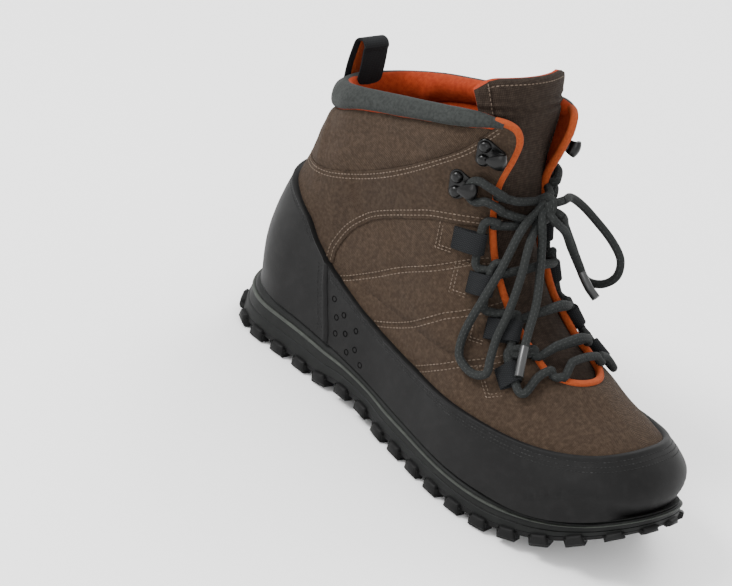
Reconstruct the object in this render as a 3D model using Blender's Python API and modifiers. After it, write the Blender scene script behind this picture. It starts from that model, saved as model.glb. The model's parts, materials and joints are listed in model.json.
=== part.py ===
"""Lace-up wading boot for the right foot: cleated sole with studs, hollow upper on a last, rubber rand.

Metres, +Z up, toe towards +X, outer side towards -Y. The origin lies on the floor under the middle
of the sole's outline. The upper's surface is one function of two parameters: "around", which runs
0 at the front ridge, 1 at the back of the heel and 2 at the front again, outer side first, and
"rise", which runs from 0 at the feather line, where upper and sole meet, to 1 at the top edge.
"""

import math

import bmesh
import bpy
from mathutils import Matrix, Vector

# Driving sizes
SOLE_LENGTH = 0.318
BALL_WIDTH = 0.114
ANKLE_WIDTH = 0.071
HEEL_HEIGHT = 0.031  # feather line above the floor at the heel
FACING_HEIGHT = 0.204  # top of the lace facings above the floor
COLLAR_HEIGHT = 0.165  # top of the collar at the back
TONGUE_HEIGHT = 0.224
UPPER_WALL = 0.0022
FLANGE = 0.004  # how far the sole stands out past the upper
FIT = 0.0003  # clearance between two pieces that touch
OVERLAY_FIT = 0.0012  # the same between two curved faceted pieces
TRIM_FIT = 0.0007  # the same under small trim that lies on the upper
OVERLAY_START = 0.012  # rise at which an overlay starts
THROAT_GAP = 0.038  # opening between the lace facings

LUG_DEPTH = 0.0045
OUTSOLE_PLATE = 0.0035
PLATE_INSET = 0.001  # the edge lugs stand this far out past the plate
TOE_SPRING = 0.034
TREAD_PITCH = 0.019
LUG_REACH = 0.012
LUG_SINK = 0.0015
PAD_RADIUS = 0.0065
DISH_RADIUS = 0.0095
DISH_LIFT = 0.0025  # face of a stud dish above the lugs' tips
STUD_RADIUS = 0.0045
STUD_PIN_RADIUS = 0.0017
STUD_HEAD = 0.0008
STUD_TIP_LIFT = 0.0006
RIB_STAND = 0.0008  # how far the side rib stands out of the midsole
INSOLE_THICKNESS = 0.004
INSOLE_FIT = 0.0020  # the same, where the upper's wall and the footbed's edge are both faceted
INSOLE_TOP_RISE = 0.035

RAND_THICKNESS = 0.0018
COUNTER_THICKNESS = 0.0026
COLLAR_PADDING = 0.0045
TONGUE_THICKNESS = 0.0055
TONGUE_HALF_WIDTH = 0.036
TONGUE_CROWN = 0.40  # how far its edges lie back, as a share of its half width
TONGUE_LEAN = 0.006
TONGUE_FIT = 0.0010
WEBBING_THICKNESS = 0.0012
WEBBING_WIDTH = 0.012
HOOK_PLATE = 0.0012
RIVET_RADIUS = 0.0036
LACE_DIAMETER = 0.0048
PULL_LOOP_WIDTH = 0.019
PULL_LOOP_RISE = 0.024

COLUMNS = 38  # faces round the upper
UPPER_RISES = [
    0.0, 0.03, 0.07, 0.12, 0.18, 0.25, 0.325, 0.330, 0.342, 0.365,
    0.44, 0.52, 0.60, 0.68, 0.76, 0.84, 0.92, 0.97, 1.0,
]
SOLE_STATIONS = 24

# Half widths of the sole. share of sole length, outer and inner side as shares of the ball width
SOLE_WIDTHS = [
    (0.00, 0.350, 0.350),
    (0.12, 0.365, 0.365),
    (0.25, 0.355, 0.345),
    (0.40, 0.375, 0.330),
    (0.52, 0.430, 0.365),
    (0.64, 0.490, 0.460),
    (0.72, 0.500, 0.498),
    (0.82, 0.480, 0.495),
    (1.00, 0.430, 0.470),
]
# Feather line. share of sole length, share of the heel height
FEATHER = [
    (0.00, 1.00),
    (0.15, 0.98),
    (0.30, 0.88),
    (0.45, 0.75),
    (0.60, 0.68),
    (0.72, 0.68),
    (0.84, 0.80),
    (0.93, 1.08),
    (1.00, 1.50),
]
# Underside of the lugs. share of sole length, share of the toe spring
GROUND = [
    (0.00, 0.30),
    (0.025, 0.10),
    (0.06, 0.00),
    (0.28, 0.00),
    (0.34, 0.10),
    (0.42, 0.10),
    (0.48, 0.00),
    (0.72, 0.00),
    (0.80, 0.06),
    (0.90, 0.36),
    (1.00, 1.00),
]
# Front ridge of the upper. rise, share of sole length, share of the height from feather line to top
RIDGE = [
    (0.00, 0.968, 0.000),
    (0.05, 0.977, 0.060),
    (0.10, 0.963, 0.125),
    (0.16, 0.925, 0.180),
    (0.24, 0.853, 0.232),
    (0.33, 0.773, 0.284),
    (0.42, 0.699, 0.348),
    (0.52, 0.629, 0.440),
    (0.64, 0.569, 0.575),
    (0.76, 0.540, 0.730),
    (0.88, 0.553, 0.875),
    (1.00, 0.560, 1.000),
]
# Back of the upper, in the same columns
BACK = [
    (0.00, 0.032, 0.000),
    (0.15, 0.022, 0.130),
    (0.30, 0.022, 0.262),
    (0.45, 0.034, 0.418),
    (0.60, 0.054, 0.580),
    (0.75, 0.075, 0.745),
    (0.88, 0.088, 0.880),
    (1.00, 0.094, 1.000),
]
# Half widths of the shaft. share of facing height, outer and inner side as shares of the ankle width
SHAFT_WIDTHS = [
    (0.15, 0.580, 0.580),
    (0.35, 0.530, 0.530),
    (0.50, 0.506, 0.506),
    (0.65, 0.500, 0.500),
    (0.80, 0.522, 0.522),
    (1.00, 0.546, 0.546),
]
# Rounding at the front ridge. rise, outer and inner side as shares of the ball width
FRONT_ROUND = [
    (0.00, 0.50, 0.38),
    (0.16, 0.46, 0.38),
    (0.33, 0.46, 0.44),
    (0.52, 0.50, 0.50),
    (0.76, 0.46, 0.46),
    (1.00, 0.42, 0.42),
]
BACK_ROUND = 0.35  # rounding at the heel as a share of the ball width
# Crown of the top edge. share from back to front, share of the facing height
TOP_CROWN = [(0.00, 0.000), (0.25, 0.012), (0.50, 0.022), (0.72, 0.030), (0.86, 0.026), (1.00, 0.000)]
# Half opening of the throat. rise, share of the throat gap
THROAT = [(0.325, 0.00), (0.330, 0.24), (0.342, 0.40), (0.365, 0.50), (0.66, 0.50), (0.92, 0.52), (1.00, 0.74)]
THROAT_START = THROAT[0][0]
# Top edge of rand and counter. around (outer side), rise
RAND_TOP = [
    (0.00, 0.167),
    (0.14, 0.164),
    (0.25, 0.169),
    (0.35, 0.181),
    (0.45, 0.183),
    (0.54, 0.208),
    (0.61, 0.285),
    (0.66, 0.382),
    (0.70, 0.460),
    (0.79, 0.518),
    (1.00, 0.560),
]
# Front edge of the counter. rise, around
COUNTER_SEAM = [(0.00, 0.648), (0.10, 0.655), (0.20, 0.650), (0.33, 0.636)]
RAND_END_GAP = 0.006  # the rand stops this much before the counter's edge, in around
# Lower edge of the collar. around, rise
COLLAR_LOW = [(0.23, 0.975), (0.34, 0.955), (0.50, 0.940), (0.65, 0.925), (0.75, 0.895), (0.88, 0.870), (1.00, 0.860)]
COLLAR_FRONT = COLLAR_LOW[0][0]
# Face of the tongue on the middle line above the instep. rise, share of sole length, share of the height
TONGUE_LINE = [(0.50, 0.629, 0.420), (0.64, 0.566, 0.575), (0.76, 0.523, 0.711), (0.88, 0.508, 0.858), (1.00, 0.503, 1.000)]
TONGUE_START = 0.300
TONGUE_REACH = 0.36  # half width of the tongue under the facings, in around
TONGUE_FREE = (0.56, 0.80)  # rise over which the tongue leaves the vamp's form for its own

# Tread of the middle of the sole. share of sole length, share of ball width
DISHES = [
    (0.080, -0.155),
    (0.080, 0.155),
    (0.140, 0.000),
    (0.200, -0.155),
    (0.200, 0.155),
    (0.530, -0.220),
    (0.535, 0.110),
    (0.610, -0.060),
    (0.665, -0.270),
    (0.675, 0.210),
    (0.745, -0.030),
    (0.815, -0.235),
    (0.825, 0.230),
]
PADS = [
    (0.080, 0.000),
    (0.140, -0.195),
    (0.140, 0.195),
    (0.200, 0.000),
    (0.570, 0.250),
    (0.600, -0.280),
    (0.740, -0.240),
    (0.750, 0.200),
    (0.880, 0.130),
    (0.880, -0.120),
]
# Chevrons: share of sole length, share of ball width, turn in degrees
CHEVRONS = [
    (0.255, -0.13, 0),
    (0.255, 0.13, 0),
    (0.330, 0.000, 180),
    (0.420, 0.000, 180),
    (0.480, -0.05, 180),
    (0.545, -0.060, 180),
    (0.610, 0.110, 180),
    (0.675, 0.040, 180),
    (0.675, -0.130, 180),
    (0.810, 0.000, 180),
]
CHEVRON_SIZE = 0.019
CHEVRON_OUTLINE = [(0.55, 0.0), (-0.05, 0.5), (-0.5, 0.5), (-0.1, 0.0), (-0.5, -0.5), (-0.05, -0.5)]

# Lace loops, lowest pair first: around and rise of the anchor, around and rise of the eye
LOOPS = [
    (0.247, 0.313, 0.193, 0.342),
    (0.233, 0.435, 0.147, 0.435),
    (0.249, 0.539, 0.178, 0.539),
    (0.273, 0.640, 0.179, 0.640),
]
# Hooks: rise and around of the middle of the plate
HOOKS = [(0.775, 0.262), (0.890, 0.225)]

# Crossings of the lace over the throat: rise and height off the upper in the middle, height at the facings
CROSSINGS = [
    (0.406, 0.0044, 0.0050),
    (0.487, 0.0044, 0.0050),
    (0.590, 0.0032, 0.0048),
    (0.700, 0.0006, 0.0042),
]
FACING_PLACE = 0.100  # around value at which a strand passes over the facing
STRAND_LIFT = 0.008  # rise that a strand gains between a facing and the middle
STRAND_OVER = 0.0026  # how much higher the second strand of a crossing passes over the middle
TOP_STRAND = (0.762, 0.0044)  # rise and height of the uppermost strand at the facings
BAR = [(0.150, 0.336, 0.0050), (0.060, 0.362, 0.0046), (0.000, 0.368, 0.0046)]  # around, rise, height
# How the lace leaves a strap's bore: forwards, past the strap's edge
LACE_EXIT = [(0.0000, 0.0026), (0.0004, 0.0054), (0.0026, 0.0076)]
HOOK_STOP = 0.0150  # distance of a strand's end from the middle of a hook's plate
HOOK_STRANDS = 0.0045  # half the distance between the two strands at a hook
KNOT = (0.1812, 0.0003, 0.1590)
KNOT_REACH = 0.0105  # length of the lace ends that belong to the knot
# Bow and ends on the outer side: around, rise, height off the upper. The first place is at the knot.
OUTER_BOW = [
    (0.087, 0.682, 0.0130),
    (0.147, 0.585, 0.0115),
    (0.215, 0.500, 0.0110),
    (0.277, 0.420, 0.007),
    (0.308, 0.365, 0.005),
    (0.318, 0.326, 0.005),
    (0.300, 0.300, 0.005),
    (0.268, 0.310, 0.0080),
    (0.246, 0.350, 0.0098),
    (0.215, 0.407, 0.009),
    (0.166, 0.471, 0.011),
    (0.105, 0.560, 0.0135),
    (0.066, 0.652, 0.0150),
]
OUTER_END = [
    (0.026, 0.650, 0.014),
    (0.047, 0.570, 0.013),
    (0.084, 0.495, 0.012),
    (0.138, 0.422, 0.012),
    (0.172, 0.370, 0.0125),
    (0.203, 0.315, 0.0115),
]
# Bow and end on the inner side, as points from the heel
INNER_BOW = [
    (0.181, 0.022, 0.161),
    (0.182, 0.033, 0.155),
    (0.188, 0.042, 0.147),
    (0.199, 0.047, 0.139),
    (0.207, 0.049, 0.131),
    (0.208, 0.049, 0.121),
    (0.202, 0.047, 0.113),
    (0.193, 0.044, 0.111),
    (0.186, 0.042, 0.118),
    (0.182, 0.035, 0.130),
    (0.182, 0.024, 0.143),
]
INNER_END = [(0.191, 0.013, 0.146), (0.190, 0.024, 0.134), (0.194, 0.032, 0.122), (0.202, 0.034, 0.114), (0.209, 0.035, 0.110)]
# Where each lace leaves the knot, as steps from its middle
LEAVE_OUTER_BOW = ((-0.0005, -0.0078, -0.0072), (0.0019, -0.0033, -0.0101))
LEAVE_OUTER_END = (0.0066, -0.0058, -0.0062)
LEAVE_INNER_BOW = ((0.0058, 0.0076, 0.0053), (0.0079, 0.0071, -0.0027))
LEAVE_INNER_END = (0.0104, -0.0002, -0.0040)
# Middles of the three lengths of lace that make the knot, as steps from its own middle
KNOT_TURNS = [(0.0006, 0.0009, 0.0022), (-0.0008, -0.0008, -0.0016), (0.0030, 0.0002, 0.0003)]
KNOT_GAP = 0.0016  # gap between the knot's short ends and the laces that run on from them
STRAND_STEPS = 9
LACE_STEPS = 160  # fine steps along a bow or end, of which every few are kept
WELD = 0.00001  # points of a joined lace closer than this are merged
BOW_STEP = 10
END_STEP = 20
KNOT_SINK = 0.0010  # distance left between the knot and the strand that carries it


def along(rows, column, place):
    """Value of a table's column at a place between its rows, on a smooth curve through them."""
    if place <= rows[0][0]:
        return rows[0][column]
    if place >= rows[-1][0]:
        return rows[-1][column]
    i = max(j for j in range(len(rows) - 1) if rows[j][0] <= place)

    def slope(j):
        low, high = max(j - 1, 0), min(j + 1, len(rows) - 1)
        return (rows[high][column] - rows[low][column]) / (rows[high][0] - rows[low][0])

    span = rows[i + 1][0] - rows[i][0]
    t = (place - rows[i][0]) / span
    ease_in = (t ** 3 - 2 * t * t + t) * slope(i) * span
    ease_out = (t ** 3 - t * t) * slope(i + 1) * span
    mix = 3 * t * t - 2 * t ** 3
    return (1 - mix) * rows[i][column] + mix * rows[i + 1][column] + ease_in + ease_out


def straight(rows, column, place):
    """Value of a table's column at a place, on straight lines between its rows."""
    place = min(max(place, rows[0][0]), rows[-1][0])
    for low, high in zip(rows, rows[1:]):
        if place <= high[0]:
            share = (place - low[0]) / (high[0] - low[0])
            return low[column] + (high[column] - low[column]) * share
    return rows[-1][column]


def blend(start, end, value):
    t = min(max((value - start) / (end - start), 0.0), 1.0)
    return t * t * (3 - 2 * t)


def spread(share):
    """Even steps made dense at both ends, so that a round end gets enough points."""
    return 0.5 - 0.5 * math.cos(math.pi * share)


def rounding(distance, radius, power=2.0):
    """1 inside a shape, falling to 0 at its edge along a round end."""
    left = 1 - min(max(distance / radius, 0.0), 1.0)
    return (1 - left ** power) ** (1 / power)


def feather_height(x):
    return along(FEATHER, 1, x / SOLE_LENGTH) * HEEL_HEIGHT


def ground_height(x):
    return max(along(GROUND, 1, x / SOLE_LENGTH), 0.0) * TOE_SPRING


def profile(rows, top, rise):
    """Side-view place of the front ridge or the back at a rise. x is measured from the heel."""
    base = feather_height(rows[0][1] * SOLE_LENGTH)
    return along(rows, 1, rise) * SOLE_LENGTH, base + along(rows, 2, rise) * (top - base)


def ridge(rise):
    return profile(RIDGE, FACING_HEIGHT, rise)


def heel_back(rise):
    return profile(BACK, COLLAR_HEIGHT, rise)


def line_of(place, steps):
    return [(i / steps, *place(i / steps)) for i in range(steps + 1)]


RIDGE_LINE = line_of(ridge, 56)
BACK_LINE = line_of(heel_back, 40)


def nearest(line, x, z):
    """Distance in the side view to a profile, and the rise of its nearest point."""
    best = (1.0, 0.0)
    for (rise0, x0, z0), (rise1, x1, z1) in zip(line, line[1:]):
        dx, dz = x1 - x0, z1 - z0
        share = ((x - x0) * dx + (z - z0) * dz) / (dx * dx + dz * dz)
        share = min(max(share, 0.0), 1.0)
        distance = math.hypot(x - x0 - share * dx, z - z0 - share * dz)
        if distance < best[0]:
            best = (distance, rise0 + (rise1 - rise0) * share)
    return best


def half_width(x, z, column):
    """Half width of the upper at a side-view place, column 1 for the outer side and 2 for the inner."""
    to_ridge, ridge_rise = nearest(RIDGE_LINE, x, z)
    to_back, _ = nearest(BACK_LINE, x, z)
    foot = along(SOLE_WIDTHS, column, x / SOLE_LENGTH) * BALL_WIDTH - FLANGE
    shaft = along(SHAFT_WIDTHS, column, z / FACING_HEIGHT) * ANKLE_WIDTH
    core = foot + (shaft - foot) * blend(0.25, 0.55, z / FACING_HEIGHT)
    front = rounding(to_ridge, along(FRONT_ROUND, column, ridge_rise) * BALL_WIDTH)
    return core * front * rounding(to_back, BACK_ROUND * BALL_WIDTH)


def side_place(share, rise):
    """Side-view place of a row of the upper, share 0 at the back and 1 at the ridge."""
    back_x, back_z = heel_back(rise)
    front_x, front_z = ridge(rise)
    (low_back_x, low_back_z), (low_front_x, low_front_z) = heel_back(0.0), ridge(0.0)
    low_x = low_back_x + (low_front_x - low_back_x) * share
    sag = feather_height(low_x) - (low_back_z + (low_front_z - low_back_z) * share)
    crown = along(TOP_CROWN, 1, share) * FACING_HEIGHT * rise ** 4
    x = back_x + (front_x - back_x) * share
    return x, back_z + (front_z - back_z) * share + sag * (1 - rise) ** 2 + crown


def surface(around, rise):
    """Point of the upper's outer surface, x measured from the heel."""
    around = around % 2.0
    column = 1 if around <= 1 else 2
    x, z = side_place(spread(abs(1 - around)), rise)
    side = -1 if column == 1 else 1
    return Vector((x, side * half_width(x, z, column), z))


def normal(around, rise):
    """Direction out of the upper's surface."""
    round_step, rise_step = 0.004, 0.006
    across = surface(around + round_step, rise) - surface(around - round_step, rise)
    up = surface(around, min(rise + rise_step, 1.0)) - surface(around, max(rise - rise_step, 0.0))
    return up.cross(across).normalized()


def lifted(around, rise, height):
    """Point at a height off the upper's surface."""
    return surface(around, rise) + normal(around, rise) * height


def outline_width(x, column, inset, heel_inset, toe_inset):
    width = along(SOLE_WIDTHS, column, x / SOLE_LENGTH) * BALL_WIDTH - inset
    heel = rounding(x - heel_inset, 0.36 * BALL_WIDTH, 2.2)
    toe = rounding(SOLE_LENGTH - toe_inset - x, (0.85, 0.55)[column - 1] * BALL_WIDTH, 2.2)
    return width * heel * toe


def sole_stations(inset, heel_inset=None, toe_inset=None, count=SOLE_STATIONS):
    """Outline of a layer of the sole: x, outer y and inner y at each station from heel to toe."""
    heel_inset = inset if heel_inset is None else heel_inset
    toe_inset = inset if toe_inset is None else toe_inset
    rows = []
    for i in range(count + 1):
        x = heel_inset + (SOLE_LENGTH - heel_inset - toe_inset) * spread(i / count)
        outer = -outline_width(x, 1, inset, heel_inset, toe_inset)
        inner = outline_width(x, 2, inset, heel_inset, toe_inset)
        rows.append((x, outer, inner))
    return rows


def outline_middle():
    """Middle of the sole's outline across the foot, which is the origin's place."""
    rows = sole_stations(0.0, count=200)
    return (min(r[1] for r in rows) + max(r[2] for r in rows)) / 2


TO_ORIGIN = Vector((-SOLE_LENGTH / 2, -outline_middle(), 0.0))


def material(name, color, roughness, metallic=0.0):
    made = bpy.data.materials.new(name)
    made.use_nodes = True
    shader = made.node_tree.nodes["Principled BSDF"]
    shader.inputs["Base Color"].default_value = (*color, 1.0)
    shader.inputs["Roughness"].default_value = roughness
    shader.inputs["Metallic"].default_value = metallic
    return made


def node(name, build, finish, collection):
    """Makes a named object from a bmesh in heel coordinates, moved to the origin's place."""
    bmesh.ops.translate(build, verts=build.verts, vec=TO_ORIGIN)
    mesh = bpy.data.meshes.new(name)
    build.to_mesh(mesh)
    build.free()
    made = bpy.data.objects.new(name, mesh)
    made.data.materials.append(finish)
    collection.objects.link(made)
    return made


def smooth(made, degrees=40):
    made.data.shade_smooth()
    made.data.set_sharp_from_angle(angle=math.radians(degrees))
    return made


def quads(build, rows, close=False):
    """Faces between rows of points. With close, each row is a ring."""
    grid = [[build.verts.new(point) for point in row] for row in rows]
    for low, high in zip(grid, grid[1:]):
        pairs = list(zip(low, low[1:], high[1:], high))
        if close:
            pairs.append((low[-1], low[0], high[0], high[-1]))
        for corners in pairs:
            build.faces.new(corners)
    return grid


def face_out(build):
    """Turns a closed form's faces outwards, also where it was mapped by a mirrored frame."""
    bmesh.ops.recalc_face_normals(build, faces=build.faces)
    if build.calc_volume(signed=True) < 0:
        bmesh.ops.reverse_faces(build, faces=build.faces)
    return build


def patch(rows):
    """Open surface through rows that run up the upper, facing out, with coinciding points merged."""
    build = bmesh.new()
    quads(build, [row[::-1] for row in rows])
    bmesh.ops.remove_doubles(build, verts=build.verts, dist=1e-6)
    return build


def thicken(made, thickness, outward):
    """Gives an open surface a wall, outwards or inwards."""
    wall = made.modifiers.new("wall", "SOLIDIFY")
    wall.thickness = thickness
    wall.offset = 1.0 if outward else -1.0
    wall.use_even_offset = False
    wall.use_quality_normals = True
    return made


def capped_rings(rings):
    """Closed solid through rings of equal count, each ring starting at the heel and running round."""
    build = bmesh.new()
    grid = quads(build, rings, close=True)
    half = len(grid[0]) // 2
    for ring, flip in ((grid[0], False), (grid[-1], True)):
        outer, inner = ring[: half + 1], [ring[0], *ring[:half - 1:-1]]
        for i in range(half):
            corners = [outer[i], outer[i + 1], inner[i + 1], inner[i]]
            corners = list(dict.fromkeys(corners))
            build.faces.new(corners[::-1] if flip else corners)
    return face_out(build)


def ring_of(stations, height):
    """Ring of points round a sole layer, outer side first, at a height worked out from x."""
    outer = [Vector((x, outer_y, height(x))) for x, outer_y, _ in stations]
    inner = [Vector((x, inner_y, height(x))) for x, _, inner_y in stations[-2:0:-1]]
    return outer + inner


def plate_bottom(x):
    """Underside of the outsole between the lugs. The tread gets shallow at the very toe."""
    toe = blend(0.90, 1.0, x / SOLE_LENGTH)
    return ground_height(x) + LUG_DEPTH * (1 - 0.6 * toe)


def plate_top(x):
    return plate_bottom(x) + OUTSOLE_PLATE * (1 - 0.4 * blend(0.85, 1.0, x / SOLE_LENGTH))


def perimeter():
    """Outline points of the sole with the length run so far, once round from the heel."""
    stations = sole_stations(0.0, count=90)
    ring = ring_of(stations, lambda x: 0.0)
    ring.append(ring[0])
    walked, points = 0.0, [(0.0, ring[0])]
    for last, here in zip(ring, ring[1:]):
        walked += (here - last).length
        points.append((walked, here))
    return points


def edge_point(points, walked, inset):
    """Point of the outline after a length, moved inwards."""
    total = points[-1][0]
    walked = walked % total
    for (start, a), (end, b) in zip(points, points[1:]):
        if walked <= end:
            direction = (b - a).normalized()
            inward = Vector((-direction.y, direction.x, 0.0))
            return a.lerp(b, (walked - start) / (end - start)) + inward * inset
    return points[-1][1].copy()


def add_block(build, outline, lift=0.0):
    """Adds an upright block of tread on an outline, from the ground line up into the plate."""
    foot = [build.verts.new((x, y, ground_height(x) + lift)) for x, y in outline]
    head = [build.verts.new((x, y, plate_bottom(x) + LUG_SINK)) for x, y in outline]
    build.faces.new(foot[::-1])
    build.faces.new(head)
    count = len(outline)
    for i in range(count):
        j = (i + 1) % count
        build.faces.new((foot[i], foot[j], head[j], head[i]))


def disc_outline(x, y, radius, sides):
    turns = [2 * math.pi * (i + 0.5) / sides for i in range(sides)]
    return [(x + radius * math.cos(turn), y + radius * math.sin(turn)) for turn in turns]


def chevron_outline(x, y, degrees):
    turn = Matrix.Rotation(math.radians(degrees), 2)
    corners = [turn @ Vector(corner) * CHEVRON_SIZE for corner in CHEVRON_OUTLINE]
    return [(x + corner.x, y + corner.y) for corner in corners]


def tread():
    """Lugs round the edge, chevrons, pads and stud dishes, as blocks to join to the outsole."""
    build = bmesh.new()
    points = perimeter()
    total = points[-1][0]
    count = round(total / TREAD_PITCH)
    pitch = total / count
    for i in range(count):
        start = i * pitch
        reach = LUG_REACH * (1.0 if i % 2 else 0.7)
        ends = (start + 0.10 * pitch, start + 0.42 * pitch, start + 0.74 * pitch)
        outer = [edge_point(points, end, 0.0) for end in ends]
        inner = [edge_point(points, end, reach * depth) for end, depth in zip(ends[::-1], (1.0, 0.7, 1.0))]
        add_block(build, [(p.x, p.y) for p in outer + inner])
    for x, y in PADS:
        add_block(build, disc_outline(x * SOLE_LENGTH, y * BALL_WIDTH, PAD_RADIUS, 8))
    for x, y in DISHES:
        outline = disc_outline(x * SOLE_LENGTH, y * BALL_WIDTH, DISH_RADIUS, 10)
        add_block(build, outline, lift=DISH_LIFT)
    for x, y, degrees in CHEVRONS:
        add_block(build, chevron_outline(x * SOLE_LENGTH, y * BALL_WIDTH, degrees))
    bmesh.ops.recalc_face_normals(build, faces=build.faces)
    return build


def make_outsole(parts, cutters, finish):
    rings = [
        ring_of(sole_stations(PLATE_INSET), plate_bottom),
        ring_of(sole_stations(PLATE_INSET), plate_top),
    ]
    outsole = node("outsole", capped_rings(rings), finish, parts)
    blocks = node("tread_blocks", tread(), finish, cutters)
    blocks.hide_render = True
    blocks.display_type = "WIRE"
    union = outsole.modifiers.new("tread", "BOOLEAN")
    union.operation = "UNION"
    union.object = blocks
    union.use_self = True
    return outsole


def make_midsole(parts, finish):
    """Foam wedge: flared side, a rib that runs round it, and a ledge under the upper."""

    def between(share):
        def height(x):
            low, high = plate_top(x) + FIT, feather_height(x) - FIT
            return low + (high - low) * share
        return height

    # share of the height, side inset, heel inset, toe inset
    sections = [
        (0.00, PLATE_INSET, PLATE_INSET, PLATE_INSET),
        (0.55, 0.0018, 0.0036, 0.0012),
        (0.60, 0.0018 - RIB_STAND, 0.0036 - RIB_STAND, 0.0012 - RIB_STAND),
        (0.68, 0.0020 - RIB_STAND, 0.0042 - RIB_STAND, 0.0012 - RIB_STAND),
        (0.73, 0.0020, 0.0042, 0.0012),
        (1.00, 0.0030, 0.0075, 0.0030),
    ]
    rings = [ring_of(sole_stations(side, heel, toe), between(share)) for share, side, heel, toe in sections]
    return node("midsole", capped_rings(rings), finish, parts)


def make_insole(parts, finish):
    """Footbed on the midsole, inside the upper's wall at its lower and its upper face."""
    rings = []
    for rise, lift in ((0.0, 0.0), (INSOLE_TOP_RISE, INSOLE_THICKNESS)):
        ring = []
        for i in range(2 * SOLE_STATIONS):
            edge = lifted(1 - i / SOLE_STATIONS, rise, -UPPER_WALL - INSOLE_FIT)
            ring.append(Vector((edge.x, edge.y, feather_height(edge.x) + FIT + lift)))
        rings.append(ring)
    return node("insole", capped_rings(rings), finish, parts)


def throat_end(rise, inner):
    """Around value where the throat's edge lies at a rise, on the outer or the inner side."""
    gap = straight(THROAT, 1, rise) * THROAT_GAP
    low, high = 0.0, 0.6
    for _ in range(24):
        middle = (low + high) / 2
        if abs(surface(-middle if inner else middle, rise).y) < gap:
            low = middle
        else:
            high = middle
    return (low + high) / 2


def column_places():
    """Around values of the upper's columns, which the overlays share."""
    return [2 * i / COLUMNS for i in range(COLUMNS + 1)]


def opened(place, rise):
    """A column's around value at a rise. The columns near the throat draw back to its edge."""
    if rise <= THROAT_START:
        return place
    if place <= 1:
        return place + throat_end(rise, False) * (1 - place) ** 2
    return place - throat_end(rise, True) * (place - 1) ** 2


def make_upper(parts, finish):
    """Hollow shell: closed over the toe, open at throat, collar and underneath."""
    rows = [[surface(opened(place, rise), rise) for place in column_places()] for rise in UPPER_RISES]
    upper = smooth(node("upper", patch(rows), finish, parts))
    return thicken(upper, UPPER_WALL, outward=False)


def rand_top(around):
    around = around % 2.0
    return along(RAND_TOP, 1, around if around <= 1 else 2 - around)


def overlay_rise(around, share):
    """Rise of a row of rand or counter, share 0 at its lower and 1 at its upper edge."""
    return OVERLAY_START + (rand_top(around) - OVERLAY_START) * share


def above_sole(point):
    """Keeps the lower edge of an overlay on the midsole's ledge."""
    return Vector((point.x, point.y, max(point.z, feather_height(point.x))))


def overlay(places, thickness):
    """Closed form that lies on the upper, from rows of around and rise values."""
    build = bmesh.new()
    under = quads(build, [[lifted(*place, OVERLAY_FIT) for place in row] for row in places])
    over_rows = [[above_sole(lifted(*place, OVERLAY_FIT + thickness)) for place in row] for row in places]
    over = quads(build, over_rows)
    rims = [(under[0], over[0]), (under[-1], over[-1])]
    rims += [([row[end] for row in under], [row[end] for row in over]) for end in (0, -1)]
    for low, high in rims:
        for corners in zip(low, low[1:], high[1:], high):
            build.faces.new(corners)
    return face_out(build)


def make_rand(parts, finish):
    """Rubber band from one end of the counter round the toe to the other."""
    levels = 5
    inner_columns = [place for place in column_places() if place < COUNTER_SEAM[-1][1] - RAND_END_GAP]
    places = []
    for level in range(levels + 1):
        row = []
        for around in inner_columns:
            row.append((around, overlay_rise(around, level / levels)))
        around = COUNTER_SEAM[0][1]
        for _ in range(3):
            rise = overlay_rise(around, level / levels)
            around = along(COUNTER_SEAM, 1, rise) - RAND_END_GAP
        row.append((around, rise))
        places.append([(-around, rise) for around, rise in row[:0:-1]] + row)
    return smooth(node("rand", overlay(places, RAND_THICKNESS), finish, parts))


def make_counter(parts, finish):
    """Rubber cup round the heel. It starts where the rand ends and is a little thicker."""
    levels = 6
    back_columns = [place for place in column_places() if COUNTER_SEAM[1][1] < place <= 1]
    places = []
    for level in range(levels + 1):
        around = COUNTER_SEAM[0][1]
        for _ in range(3):
            rise = overlay_rise(around, level / levels)
            around = along(COUNTER_SEAM, 1, rise)
        row = [(around, rise)]
        for around in back_columns:
            row.append((around, overlay_rise(around, level / levels)))
        places.append(row + [(2 - around, rise) for around, rise in row[-2::-1]])
    return smooth(node("heel_counter", overlay(places, COUNTER_THICKNESS), finish, parts))


def collar_low(around):
    return along(COLLAR_LOW, 1, around if around <= 1 else 2 - around)


def make_collar(parts, finish):
    """Padded roll round the top edge of the shaft."""
    columns = 30
    # share of the band from low edge to top edge, share of the padding
    section = [(0.00, 0.0), (1.00, 0.0), (1.00, 0.55), (0.72, 0.95), (0.38, 1.0), (0.08, 0.62)]
    rings = []
    for i in range(columns + 1):
        around = COLLAR_FRONT + (2 - 2 * COLLAR_FRONT) * i / columns
        fade = 0.45 + 0.55 * rounding(min(i, columns - i), 3)
        low = collar_low(around)
        ring = []
        for share, padding in section:
            height = OVERLAY_FIT + COLLAR_PADDING * padding * fade
            ring.append(lifted(around, low + (1 - low) * share, height))
        rings.append(ring)
    build = bmesh.new()
    grid = quads(build, rings, close=True)
    build.faces.new(grid[0])
    build.faces.new(grid[-1])
    return smooth(node("collar", face_out(build), finish, parts), 50)


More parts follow.
